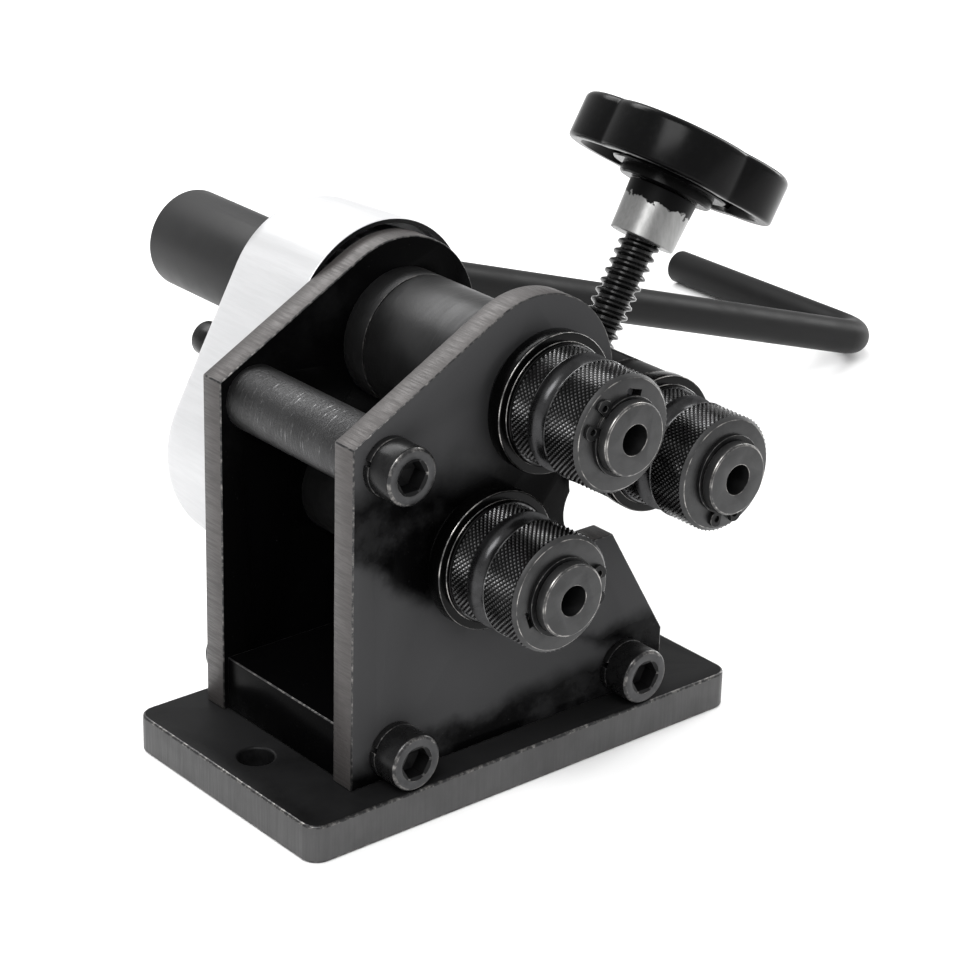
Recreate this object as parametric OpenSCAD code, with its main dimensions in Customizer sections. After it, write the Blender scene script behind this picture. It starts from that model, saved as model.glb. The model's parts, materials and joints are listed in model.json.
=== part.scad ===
// Bench ring roller: two geared rolls turned by a crank, and an idle roll on a swing arm
// that a hand screw raises against the work. +X runs along the base, +Y to the crank, +Z up.
// The origin is the centre of the base's underside.

/* [Base] */
// Length of the base plate, along X
base_w = 150; // [140:1:220]
// Depth of the base plate, along Y
base_d = 82; // [78:1:140]
// Thickness of the base plate
base_t = 11; // [8:0.5:20]
// Radius of the base plate's upright corners
base_corner_r = 5; // [2:0.5:12]
// Diameter of the two bench-bolt holes
mount_hole_d = 10; // [6:0.5:11]
// Distance between the two bench-bolt holes
mount_hole_span = 127; // [124:1:130]

/* [Side plates] */
// Thickness of each side plate
plate_t = 8; // [7:0.5:12]
// Clear distance between the two side plates
plate_gap = 50; // [49:0.5:56]
// Distance from the middle of the base to the middle of the gap, towards the crank
plates_mid_y = 2; // [0:0.5:4]
// Distance from the middle of the base to the plates' left edge
plate_left = 55; // [54:0.5:57]
// Distance from the middle of the base to the plates' right edge
plate_right = 56; // [54:0.5:57]
// Height of the plates' upper left corner over the base
corner_h = 97.6; // [94:0.2:106]
// Radius of the round lobe over the top roll
lobe_r = 27.6; // [25:0.2:32]
// Height of the flat foot over the base
foot_h = 50.3; // [47:0.1:51]
// Distance from the middle of the base to the right end of the flat foot
foot_x = 35.5; // [34:0.5:38]
// Height over the base at which the foot's slope meets the right edge
foot_edge_h = 15.6; // [13:0.2:20]
// Radius of the notch beside the foot
notch_r = 10.8; // [8:0.2:12]
// Distance from the middle of the base to the notch's centre
notch_x = 27.8; // [26:0.2:30]

/* [Roll axes] */
// Distance from the middle of the base to the top roll's axis
top_x = 5; // [3:0.5:7]
// Height of the top roll's axis over the base
top_h = 98.8; // [98:0.1:101]
// Module of the two gears
gear_module = 2; // [1.9:0.05:2.1]
// Teeth on each gear
gear_teeth = 22; // [22:2:22]
// Direction from the top roll's axis to the lower one's, from +X towards +Z, in degrees
lower_angle = -115.3; // [-118:0.1:-113]
// Distance from the top roll's axis to the idle roll's
idle_reach = 43.5; // [42.5:0.1:45]
// Direction from the top roll's axis to the idle roll's, in degrees
idle_angle = -28.6; // [-30:0.1:-27]

/* [Rolls] */
// Diameter of the knurled bands
roll_d = 32.6; // [30:0.2:34]
// Diameter of the back flange
flange_d = 39; // [36:0.5:40]
// Thickness of the back flange
flange_t = 4.7; // [3:0.1:6]
// Diameter of the step in front of the flange
step_d = 34; // [33:0.5:36]
// Length of that step
step_t = 1.3; // [0.8:0.1:2]
// Length of the knurled band behind the groove
back_band = 6.4; // [5:0.2:8]
// Width of the half-round wire groove
groove_w = 6; // [4:0.2:8]
// Length of the knurled band in front of the groove
front_band = 11.2; // [9:0.2:14]
// Chamfer at the roll's front face
roll_chamfer = 1; // [0.4:0.1:2]
// Gap between the front plate and the roll's flange
roll_standoff = 3.6; // [3:0.1:5]
// Diameter of the three shafts
shaft_d = 20; // [19:0.1:21]
// Length of shaft that stands out of a roll's front face
shaft_nose = 4.6; // [4:0.1:7]
// Diameter of the hole in each shaft's front end
nose_hole_d = 8.4; // [6:0.2:10]
// Depth of that hole
nose_hole_depth = 22; // [12:1:30]
// Width of the keys
key_w = 5; // [4:0.2:6]
// Height of a key over its shaft
key_rise = 2.2; // [1.6:0.1:2.4]
// Depth of a key in its shaft
key_sink = 2.6; // [2:0.1:3.2]

/* [Swing arm] */
// Diameter of the arm's two round ends
boss_d = 38; // [37:0.5:39]
// Width of the arm between the plates
arm_w = 41; // [39:0.5:42]
// Distance that the idle end stands out in front of the front plate
boss_nose = 2.5; // [2:0.1:2.9]
// Outer diameter of the fixed sleeve that the arm turns on
sleeve_d = 28; // [27:0.2:29]
// Wall of the bushes
bush_wall = 2; // [1.6:0.1:2.4]
// Free length of each bush in its bore
bush_len = 22; // [18:0.5:24]
// Angle that the arm swings each way from the rest pose, in degrees
swing = 9.5; // [6:0.5:9.5]

/* [Jack screw] */
// Diameter over the screw's thread
screw_d = 12; // [11:0.5:13]
// Pitch of the thread
screw_pitch = 3; // [2.5:0.25:4]
// Depth of the thread
thread_depth = 1.4; // [0.8:0.1:1.8]
// Lean of the screw from upright, in degrees
screw_lean = 31.3; // [29:0.1:33]
// Distance from the top roll's axis to the screw's
screw_offset = 46.8; // [46:0.1:48]
// Distance along the screw from its nearest point to the top axis down to the pad's tip
tip_reach = 34; // [33:0.2:35]
// Distance along the screw from that point up to the knob's bare metal insert
insert_reach = 52.4; // [50:0.2:58]
// Diameter of the knob's metal insert
insert_d = 20.4; // [18:0.2:22]
// Length of insert that shows below the knob
insert_show = 15.2; // [10:0.2:18]

/* [Hand knob] */
// Diameter over the knob's lobes
knob_d = 62.5; // [54:0.5:66]
// Height of the knob's rim
knob_h = 14.2; // [12:0.2:18]
// Radius of each lobe's own arc
knob_lobe_r = 22; // [20:0.5:26]
// Lobes on the knob
knob_lobes = 4; // [4:1:8]
// Angle of the first lobe's middle around the screw at rest, in degrees
knob_rest = 37; // [0:1:90]
// Wall of the knob
knob_wall = 3.6; // [3:0.2:5]

/* [Gear cover] */
// Distance from the rear plate to the cover's back face
cover_depth = 36.5; // [34:0.5:42]
// Wall of the cover
cover_wall = 3.6; // [2.4:0.2:4.4]
// Outer radius of the cover's rim around the top gear
cover_top_r = 30.5; // [30:0.1:31]
// Outer radius of the cover's rim around the lower gear
cover_low_r = 33; // [31:0.2:34]
// Taper of the cover's side from rim to back, measured on the radius
cover_draft = 1.8; // [0.4:0.1:2]
// Rounding of the cover's back edge
cover_round = 5; // [2:0.5:6]
// Width of the gears
gear_w = 18; // [14:1:20]

/* [Crank] */
// Diameter of the crank's hub
hub_d = 30; // [28:0.5:32]
// Distance from the rear plate to the hub's far end
hub_reach = 92.8; // [88:0.5:100]
// Diameter of the bent crank rod
rod_d = 13; // [10:0.5:14]
// Distance, seen along the shaft, from the hub's axis to the elbow
crank_reach = 329.5; // [260:1:360]
// Distance that the rod leans away from the plates on its way to the elbow
crank_splay = 11.5; // [0:0.5:14]
// Length of the grip, from the elbow's corner to its end
grip_len = 106; // [80:1:140]
// Radius of the elbow on the rod's centre line
elbow_r = 18; // [14:0.5:26]

/* [Fasteners] */
// Diameter of the cap screws' shank
cap_d = 10; // [8:0.5:10]
// Diameter of the cap screws' head
cap_head_d = 16; // [14:0.2:16.4]
// Height of the cap screws' head
cap_head_h = 8; // [6:0.5:10]
// Width across the flats of the cap screws' socket
cap_socket = 8; // [6:0.5:9]
// Diameter of the corner spacer bar
spacer_d = 18.6; // [17:0.2:21]
// Distance from the plates' left edge to the spacer bar's axis
spacer_in = 11; // [10.5:0.1:12]
// Height of the bottom block
block_h = 16; // [15:0.5:17]

/* [Hidden] */
$fn = 96;

// Clearances: a seated fit, a running fit, a free gap between moving pieces, and a cut's overrun
seat_gap = 0.02;
run_gap = 0.05;
free_gap = 0.3;
overrun = 1;

black_steel = [0.10, 0.10, 0.11];
dark_steel = [0.16, 0.16, 0.17];
bare_steel = [0.55, 0.55, 0.57];
cast_metal = [0.78, 0.79, 0.80];
gloss_black = [0.04, 0.04, 0.05];

// Faces along Y
front_y = plates_mid_y - plate_gap / 2 - plate_t;
front_inner_y = front_y + plate_t;
rear_inner_y = front_inner_y + plate_gap;
rear_y = rear_inner_y + plate_t;
flange_y = front_y - roll_standoff;
roll_len = flange_t + step_t + back_band + groove_w + front_band + roll_chamfer;
roll_front_y = flange_y - roll_len;
nose_y = roll_front_y - shaft_nose;
arm_front_y = front_inner_y + free_gap;
arm_rear_y = arm_front_y + arm_w;
boss_front_y = front_y - boss_nose;
gear_flange_t = 2.6;
gear_y = rear_y + gear_flange_t + free_gap;
cover_y = rear_y + cover_depth;
hub_end_y = rear_y + hub_reach;
screw_y = plates_mid_y;

// Axes in XZ
top = [top_x, base_t + top_h];
centre_dist = gear_module * gear_teeth;
low = top + centre_dist * [cos(lower_angle), sin(lower_angle)];
idle = top + idle_reach * [cos(idle_angle), sin(idle_angle)];

// The upper edge leaves the corner on the line that touches the lobe, less a hair so that it
// crosses the round
corner = [-plate_left, base_t + corner_h];
corner_to_top = norm(top - corner);
touch_r = lobe_r - seat_gap;
edge_angle = atan2(top[1] - corner[1], top[0] - corner[0]) + asin(touch_r / corner_to_top);
edge_touch = top + touch_r * [-sin(edge_angle), cos(edge_angle)];
// Drop from the corner to a point that is as far from the sloping edge as from the left one
function spacer_rise(inset) = inset * (1 / cos(edge_angle) - tan(edge_angle));
spacer = [-plate_left + spacer_in, base_t + corner_h - spacer_rise(spacer_in)];
block_screw_x = 41;
block_screw_rise = 0.3;
block_screw_z = base_t + block_h / 2 + block_screw_rise;
block_screws = [[-block_screw_x, block_screw_z], [block_screw_x, block_screw_z]];
cap_places = concat([spacer], block_screws);

// Sizes of small pieces
shaft_r = shaft_d / 2;
bush_r = shaft_r + run_gap + bush_wall;
bush_flange_r = 16;
bush_flange_t = roll_standoff - free_gap;
gear_flange_r = 15;
cap_r = cap_d / 2;
cap_grip = 18;
cap_socket_depth = 5;
cap_chamfer = 0.5;
washer_t = 2.2;
washer_r = 8.1;
washer_slit = 1.4;
washer_slit_angle = 160;
clip_t = 1.2;
clip_groove_depth = 0.6;
clip_r = 10.9;
clip_shift = 0.5;
clip_ear_r = 2.3;
clip_ear_hole_r = 0.9;
clip_ear_reach = 12.1;
clip_ear_angle = 16;
clip_opening_angle = 9;
clip_gap = 0.15;
key_margin = 0.8;
roll_key_inset = 3;
top_key_angle = 73;
low_key_angle = -160;
idle_key_angle = -30;
gear_key_angle = 90;
top_clip_angle = 146;
low_clip_angle = -1;
idle_clip_angle = -91;
nose_chamfer = 0.4;

// The screw's own line: f points away from the top axis, u points up along the screw
screw_f = [cos(screw_lean), -sin(screw_lean)];
screw_u = [sin(screw_lean), cos(screw_lean)];
screw_foot = top + screw_offset * screw_f;
pad_dome_r = 10;
pad_r = 5.5;
pad_h = 6.5;
pad_bore_depth = 3.8;
spigot_r = 3;
spigot_len = 3.5;
anvil_w = 24;
anvil_h = 12;
anvil_gap = 0.1;
anvil_spigot_r = 5.5;
anvil_spigot_len = 5;
screw_core_r = screw_d / 2 - thread_depth;
screw_top_inside = 24;
keeper_r = 3;
keeper_dog_r = 1.8;
keeper_y = -16;
keeper_groove_depth = 1.6;
keeper_groove_w = 4;
keeper_inset = 0.5;
idle_shaft_inset = 4.2;
idle_shaft_end_y = screw_y - screw_d / 2 - idle_shaft_inset;
boss_room = 1.2;
web_inset = 0.15;
insert_shank_r = 6.5;
collar_r = 14;
collar_h = 3;
knob_pin_r = 1.5;
knob_pin_inset = 0.8;
base_screw_x = 30;
base_screw_r = 4;
base_screw_head_r = 8;
base_screw_head_h = 4.2;
base_screw_grip = 12;
base_screw_sink = 0.3;
base_socket = 5;
base_socket_depth = 2.6;
cover_gap = 0.1;
cover_back_t = 4;
cover_boss_r = 4.8;
cover_screw_r = 3;
cover_screw_grip = 7;
cover_head_r = 5;
cover_head_h = 6;
cover_socket = 5;
cover_socket_depth = 3;
cover_left_offset = 22.4;
cover_right_offset = 20;
hub_front_y = gear_y + gear_w + clip_t + 2 * free_gap;
hub_wall_end = 22.5;
rod_y_back = 8.8;
rod_tail = 9;
rest_gap = 0.3;
pin_r = 3;
pin_back = 47.8;
pin_inset = 0.6;
rod_pin_r = 2.5;
rod_pin_len = 18.6;
tooth_thinning = 0.12;
pressure_angle = 20;

// A round bar along Y between two faces
module bar_y(r, from, to) {
    translate([0, to, 0]) rotate([90, 0, 0]) cylinder(r = r, h = to - from);
}

// A cone along Y between two faces
module cone_y(r_from, r_to, from, to) {
    translate([0, to, 0]) rotate([90, 0, 0]) cylinder(r1 = r_to, r2 = r_from, h = to - from);
}

// A flat XZ outline, thick along Y between two faces
module slab_y(from, to) {
    translate([0, to, 0]) rotate([90, 0, 0]) linear_extrude(to - from) children();
}

// A solid turned about Y: outline points are [radius, distance in front of the face at_y]
module turned_y(at_y) {
    translate([0, at_y, 0]) rotate([90, 0, 0]) rotate_extrude() children();
}

// Places what is drawn around the origin's Y line on an axis given in XZ
module on_axis(p) {
    translate([p[0], 0, p[1]]) children();
}

// Turns what is drawn towards +X about Y, to an angle from +X towards +Z
module aim(angle) {
    rotate([0, -angle, 0]) children();
}

// Places what is drawn along Z on the jack screw's line, with zero at its foot
module on_screw() {
    translate([screw_foot[0], screw_y, screw_foot[1]]) rotate([0, screw_lean, 0]) children();
}

module hex_y(flats, from, to) {
    translate([0, to, 0]) rotate([90, 0, 0])
        cylinder(d = flats / cos(30), h = to - from, $fn = 6);
}

module base_outline() {
    inner_w = base_w - 2 * base_corner_r;
    inner_d = base_d - 2 * base_corner_r;
    square([base_w, inner_d], center = true);
    square([inner_w, base_d], center = true);
    for (x = [-1, 1], y = [-1, 1])
        translate([x * inner_w / 2, y * inner_d / 2]) circle(base_corner_r);
}

module base_plate() {
    color(black_steel) difference() {
        linear_extrude(base_t) base_outline();
        for (x = [-1, 1])
            translate([x * mount_hole_span / 2, 0, -overrun])
                cylinder(d = mount_hole_d, h = base_t + 2 * overrun);
        for (x = [-1, 1]) translate([x * base_screw_x, plates_mid_y, 0]) {
            translate([0, 0, -overrun])
                cylinder(r = base_screw_r + seat_gap, h = base_t + 2 * overrun);
            translate([0, 0, base_screw_sink])
                cylinder(r1 = base_screw_head_r + seat_gap, r2 = base_screw_r + seat_gap,
                         h = base_screw_head_h);
            translate([0, 0, -overrun])
                cylinder(r = base_screw_head_r + seat_gap, h = base_screw_sink + overrun);
        }
    }
}

// Countersunk screws from below, which hold the bottom block on the base
module base_screws() {
    color(dark_steel) for (x = [-1, 1])
        translate([x * base_screw_x, plates_mid_y, base_screw_sink]) difference() {
            union() {
                cylinder(r1 = base_screw_head_r, r2 = base_screw_r, h = base_screw_head_h);
                cylinder(r = base_screw_r, h = base_t - base_screw_sink + base_screw_grip);
            }
            translate([0, 0, -overrun])
                cylinder(d = base_socket / cos(30), h = base_socket_depth + overrun, $fn = 6);
        }
}

module bottom_block() {
    block_in = 1.4;
    color(black_steel) difference() {
        translate([-plate_left + block_in, front_inner_y, base_t])
            cube([plate_left + plate_right - 2 * block_in, plate_gap, block_h]);
        for (p = block_screws) on_axis(p) {
            bar_y(cap_r + seat_gap, front_inner_y - overrun, front_inner_y + cap_grip);
            bar_y(cap_r + seat_gap, rear_inner_y - cap_grip, rear_inner_y + overrun);
        }
        for (x = [-1, 1]) translate([x * base_screw_x, plates_mid_y, base_t - overrun])
            cylinder(r = base_screw_r + seat_gap, h = base_screw_grip + 2 * overrun);
    }
}

// A plate's outer shape between two faces, without the notch
module plate_body(from, to) {
    foot_z = base_t + foot_h;
    slab_y(from, to) polygon([
        [-plate_left, base_t], corner, edge_touch, top, [top[0] + lobe_r, top[1] - notch_r],
        [foot_x, foot_z], [plate_right, base_t + foot_edge_h], [plate_right, base_t]
    ]);
    on_axis(top) bar_y(lobe_r, from, to);
}

// Turn that is left free beyond the arm's swing
swing_room = 1;

// The room that the arm's idle end and the work need in front of the plates' right side
module arm_room() {
    boss_room_r = boss_d / 2 + boss_room;
    room_swing = swing + swing_room;
    foot_z = base_t + foot_h;
    from = front_y - overrun;
    to = front_inner_y + overrun;
    translate([notch_x, 0, foot_z + notch_r]) bar_y(notch_r, from, to);
    translate([notch_x, from, foot_z]) cube([plate_right, to - from, 2 * notch_r]);
    for (i = [-2 : 2]) on_axis(top) aim(idle_angle + room_swing * i / 2)
        translate([idle_reach, 0, 0]) bar_y(boss_room_r, from, to);
}

module plate_holes(low_hole_r) {
    on_axis(top) bar_y(sleeve_d / 2 + seat_gap, front_y - overrun, rear_y + overrun);
    on_axis(low) bar_y(low_hole_r, front_y - overrun, rear_y + overrun);
    for (p = cap_places) on_axis(p)
        bar_y(cap_r + seat_gap, front_y - overrun, rear_y + overrun);
    on_screw() translate([0, 0, -tip_reach - anvil_gap - anvil_h / 2])
        bar_y(anvil_spigot_r + seat_gap, front_inner_y - screw_y - anvil_spigot_len - seat_gap,
              rear_inner_y - screw_y + anvil_spigot_len + seat_gap);
}

module front_plate() {
    color(black_steel) difference() {
        plate_body(front_y, front_inner_y);
        arm_room();
        plate_holes(bush_r + seat_gap);
    }
}

module rear_plate() {
    color(black_steel) difference() {
        plate_body(rear_inner_y, rear_y);
        plate_holes(bush_r + seat_gap);
        for (p = cover_bosses) on_axis(p)
            bar_y(cover_screw_r + seat_gap, rear_y - cover_screw_grip - seat_gap, rear_y + overrun);
    }
}

// Bar between the plates' corners, with a screw in front and a spigot in the rear plate
module corner_spacer() {
    color(bare_steel) on_axis(spacer) difference() {
        union() {
            bar_y(spacer_d / 2, front_inner_y, rear_inner_y);
            bar_y(cap_r, rear_inner_y - overrun, rear_y);
        }
        bar_y(cap_r + seat_gap, front_inner_y - overrun, front_inner_y + cap_grip);
    }
}

// One socket head cap screw, its washer under the head at y = 0 and its head towards -Y
module cap_screw() {
    head_y = -washer_t - cap_head_h;
    difference() {
        union() {
            bar_y(cap_r, -washer_t, plate_t + cap_grip - overrun);
            bar_y(cap_head_d / 2, head_y + cap_chamfer, -washer_t);
            cone_y(cap_head_d / 2 - cap_chamfer, cap_head_d / 2, head_y, head_y + cap_chamfer);
        }
        hex_y(cap_socket, head_y - overrun, head_y + cap_socket_depth);
    }
}

// A split spring washer in front of y = 0
module lock_washer() {
    difference() {
        bar_y(washer_r, -washer_t, 0);
        bar_y(cap_r + run_gap, -washer_t - overrun, overrun);
        translate([0, -washer_t - overrun, -washer_slit / 2])
            cube([washer_r + overrun, washer_t + 2 * overrun, washer_slit]);
    }
}

module at_rear_face(p) {
    translate([p[0], rear_y, p[1]]) mirror([0, 1, 0]) children();
}

module at_front_face(p) {
    translate([p[0], front_y, p[1]]) children();
}

module front_cap_screws() {
    color(dark_steel) for (p = cap_places) at_front_face(p) cap_screw();
}

module rear_cap_screws() {
    color(dark_steel) for (p = block_screws) at_rear_face(p) cap_screw();
}

module front_lock_washers() {
    color(dark_steel) for (p = cap_places) at_front_face(p) aim(washer_slit_angle) lock_washer();
}

module rear_lock_washers() {
    color(dark_steel) for (p = block_screws) at_rear_face(p) aim(washer_slit_angle) lock_washer();
}

// The bar between the plates' feet that the screw's pad bears on
module anvil_block() {
    color(black_steel) on_screw() translate([0, 0, -tip_reach - anvil_gap]) {
        translate([-anvil_w / 2, front_inner_y - screw_y, -anvil_h])
            cube([anvil_w, plate_gap, anvil_h]);
        translate([0, 0, -anvil_h / 2])
            bar_y(anvil_spigot_r, front_inner_y - screw_y - anvil_spigot_len,
                  rear_inner_y - screw_y + anvil_spigot_len);
    }
}

// The fixed sleeve through both plates that the arm swings on
module pivot_sleeve() {
    color(bare_steel) on_axis(top) difference() {
        bar_y(sleeve_d / 2, front_y, rear_y);
        bar_y(bush_r + seat_gap, front_y - overrun, rear_y + overrun);
    }
}

module rear_collar() {
    color(black_steel) on_axis(top) difference() {
        bar_y(boss_d / 2, arm_rear_y + free_gap, rear_inner_y);
        bar_y(sleeve_d / 2 + seat_gap, arm_rear_y, rear_inner_y + overrun);
    }
}

// A flanged bush: its flange spans from_y to seat_y, its barrel runs on to end_y
module bush(from_y, seat_y, end_y, flange_r) {
    difference() {
        union() {
            bar_y(flange_r, min(from_y, seat_y), max(from_y, seat_y));
            bar_y(bush_r, min(seat_y, end_y), max(seat_y, end_y));
        }
        bar_y(shaft_r + run_gap, min(from_y, end_y) - overrun, max(from_y, end_y) + overrun);
    }
}

module bush_pair() {
    bush(front_y - bush_flange_t, front_y, front_y + bush_len, bush_flange_r);
    bush(rear_y + gear_flange_t, rear_y, rear_y - bush_len, gear_flange_r);
}

module top_bushes() {
    color(dark_steel) on_axis(top) bush_pair();
}

module lower_spacer_tube() {
    tube_r = 14.5;
    color(black_steel) on_axis(low) difference() {
        bar_y(tube_r, front_inner_y, rear_inner_y);
        bar_y(bush_r + seat_gap, front_inner_y - overrun, rear_inner_y + overrun);
    }
}

module lower_bushes() {
    color(dark_steel) on_axis(low) bush_pair();
}

// Places of the cover's screws, on either side of the line between the gears
mid = (top + low) / 2;
side = [sin(lower_angle), -cos(lower_angle)];
cover_bosses = [mid + cover_left_offset * side, mid - cover_right_offset * side];

// The cover's solid shape, shrunk by inset on its sides and by back at its back face
module cover_form(inset, back, from_y) {
    last_y = cover_y - back;
    bend_y = last_y - cover_round;
    rounding = cover_round - cover_draft;
    hull() for (g = [[top, cover_top_r], [low, cover_low_r]]) on_axis(g[0]) {
        bar_y(g[1] - inset, from_y, from_y + overrun, $fn = 72);
        bar_y(g[1] - inset - cover_draft, bend_y, bend_y + overrun, $fn = 72);
        bar_y(g[1] - inset - cover_draft - rounding / 3, last_y - overrun, last_y, $fn = 72);
    }
}

module gear_cover() {
    rim_y = rear_y + cover_gap;
    color(cast_metal) difference() {
        union() {
            difference() {
                cover_form(0, 0, rim_y);
                cover_form(cover_wall, cover_back_t, rim_y - overrun);
            }
            for (p = cover_bosses) on_axis(p)
                bar_y(cover_boss_r, rim_y, cover_y - cover_back_t / 2);
        }
        on_axis(top) bar_y(hub_d / 2 + free_gap, cover_y - 2 * cover_back_t, cover_y + overrun);
        for (p = cover_bosses) on_axis(p)
            bar_y(cover_screw_r + seat_gap, rim_y - overrun, cover_y + overrun);
    }
}

module cover_screws() {
    color(dark_steel) for (p = cover_bosses) on_axis(p) difference() {
        union() {
            bar_y(cover_screw_r, rear_y - cover_screw_grip, cover_y);
            bar_y(cover_head_r, cover_y, cover_y + cover_head_h);
        }
        hex_y(cover_socket, cover_y + cover_head_h - cover_socket_depth,
              cover_y + cover_head_h + overrun);
    }
}

// A key lying along Y in its shaft, towards an angle
module key(angle, from_y, to_y, grow) {
    low_r = shaft_r - key_sink - grow;
    high_r = shaft_r + key_rise + grow;
    aim(angle) translate([low_r, from_y - grow, -key_w / 2 - grow])
        cube([high_r - low_r, to_y - from_y + 2 * grow, key_w + 2 * grow]);
}

// A retaining ring in front of y = 0, its ears towards an angle
module circlip(angle) {
    ring_bore_r = shaft_r - clip_groove_depth + seat_gap;
    aim(angle) slab_y(-clip_t, 0) difference() {
        union() {
            translate([-clip_shift, 0]) circle(clip_r);
            for (s = [-1, 1]) rotate(s * clip_ear_angle) {
                translate([clip_ear_reach, 0]) circle(clip_ear_r);
                translate([ring_bore_r, -clip_ear_r / 2])
                    square([clip_ear_reach - ring_bore_r, clip_ear_r]);
            }
        }
        circle(ring_bore_r);
        polygon([
            [0, 0],
            2 * clip_r * [cos(clip_opening_angle), sin(clip_opening_angle)],
            2 * clip_r * [cos(clip_opening_angle), -sin(clip_opening_angle)]
        ]);
        for (s = [-1, 1]) rotate(s * clip_ear_angle)
            translate([clip_ear_reach, 0]) circle(clip_ear_hole_r);
    }
}

// The groove of a retaining ring that lies in front of y = 0
module clip_groove(at_y) {
    difference() {
        bar_y(shaft_r + overrun, at_y - clip_t - clip_gap, at_y + clip_gap);
        bar_y(shaft_r - clip_groove_depth, at_y - clip_t - overrun, at_y + overrun);
    }
}

roll_key_front_y = roll_front_y + roll_key_inset;
roll_key_back_y = flange_y - key_margin;
roll_clip_y = roll_front_y - clip_gap;
gear_clip_y = gear_y + gear_w + clip_gap + clip_t;

// A shaft's front end, common to all three: nose hole, roll key seat and ring groove
module shaft_front(end_y, key_angle) {
    difference() {
        union() {
            bar_y(shaft_r, nose_y + nose_chamfer, end_y);
            cone_y(shaft_r - nose_chamfer, shaft_r, nose_y, nose_y + nose_chamfer);
        }
        bar_y(nose_hole_d / 2, nose_y - overrun, nose_y + nose_hole_depth);
        key(key_angle, roll_key_front_y, roll_key_back_y, seat_gap);
        clip_groove(roll_clip_y);
    }
}

module geared_shaft(end_y, key_angle) {
    difference() {
        shaft_front(end_y, key_angle);
        key(gear_key_angle, gear_y + key_margin, gear_y + gear_w - key_margin, seat_gap);
        clip_groove(gear_clip_y);
    }
}

// Turned outline of a roll: flange, step, band, half-round groove, band and chamfer
module roll_outline() {
    r = roll_d / 2;
    steps = [
        flange_t, flange_t + step_t, flange_t + step_t + back_band,
        flange_t + step_t + back_band + groove_w, roll_len - roll_chamfer, roll_len
    ];
    difference() {
        polygon([
            [0, 0], [flange_d / 2, 0], [flange_d / 2, steps[0]], [step_d / 2, steps[0]],
            [step_d / 2, steps[1]], [r, steps[1]], [r, steps[4]], [r - roll_chamfer, steps[5]],
            [0, steps[5]]
        ]);
        translate([r, (steps[2] + steps[3]) / 2]) circle(groove_w / 2);
    }
}

module roll(key_angle) {
    difference() {
        turned_y(flange_y) roll_outline();
        bar_y(shaft_r + seat_gap, roll_front_y - overrun, flange_y + overrun);
        key(key_angle, roll_front_y - overrun, flange_y + overrun, seat_gap);
    }
}

// Involute gear teeth: half of a tooth's angle at a radius
base_circle_r = gear_module * gear_teeth / 2 * cos(pressure_angle);
function involute(a) = tan(a) * 180 / PI - a;
function half_tooth(r) =
    90 / gear_teeth - tooth_thinning / centre_dist * 180 / PI + involute(pressure_angle)
    - (r > base_circle_r ? involute(acos(base_circle_r / r)) : 0);
tooth_root_share = 1.25;
flank_shares = [0, 0.35, 0.6, 0.8, 1];
root_r = centre_dist / 2 - tooth_root_share * gear_module;
tip_r = centre_dist / 2 + gear_module;
function flank_r(share) = root_r + share * (tip_r - root_r);
function polar(r, a) = r * [cos(a), sin(a)];

module gear_outline() {
    polygon([for (i = [0 : gear_teeth - 1]) let (a = i * 360 / gear_teeth) each concat(
        [for (s = flank_shares) polar(flank_r(s), a - half_tooth(flank_r(s)))],
        [for (k = [len(flank_shares) - 1 : -1 : 0]) let (s = flank_shares[k])
            polar(flank_r(s), a + half_tooth(flank_r(s)))]
    )]);
}

// A gear whose tooth, or gap between teeth, points at the other gear
module gear(angle) {
    difference() {
        slab_y(gear_y, gear_y + gear_w) rotate(angle) gear_outline();
        bar_y(shaft_r + seat_gap, gear_y - overrun, gear_y + gear_w + overrun);
        key(gear_key_angle, gear_y - overrun, gear_y + gear_w + overrun, seat_gap);
    }
}

module top_shaft() {
    pin_y = rear_y + pin_back;
    color(dark_steel) on_axis(top) difference() {
        geared_shaft(hub_end_y - hub_wall_end, top_key_angle);
        translate([0, pin_y, -shaft_d]) cylinder(r = pin_r + seat_gap, h = 2 * shaft_d);
    }
}

module top_roll() {
    color(dark_steel) on_axis(top) roll(top_key_angle);
}

module top_roll_key() {
    color(bare_steel) on_axis(top) key(top_key_angle, roll_key_front_y, roll_key_back_y, 0);
}

module top_circlip() {
    color(dark_steel) on_axis(top) translate([0, roll_clip_y, 0]) circlip(top_clip_angle);
}

module drive_gear() {
    color(bare_steel) on_axis(top) gear(lower_angle);
}

module gear_key() {
    key(gear_key_angle, gear_y + key_margin, gear_y + gear_w - key_margin, 0);
}

module drive_gear_key() {
    color(bare_steel) on_axis(top) gear_key();
}

module drive_gear_circlip() {
    color(dark_steel) on_axis(top) translate([0, gear_clip_y, 0]) circlip(gear_key_angle);
}

rod_y = hub_end_y - rod_y_back;
// Turn by which the rod's elbow reaches into the straight lengths beside it
elbow_lap = 1.5;
crank_drop = asin((top[1] - rod_d / 2 - rest_gap) / crank_reach);
crank_aim = atan2(crank_splay, crank_reach);
crank_len = norm([crank_reach, crank_splay]);

// Turns and places what is drawn along +X onto the crank rod's straight arm
module on_crank() {
    translate([top[0], rod_y, top[1]]) rotate([0, crank_drop, 0]) rotate([0, 0, crank_aim])
        children();
}

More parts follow.
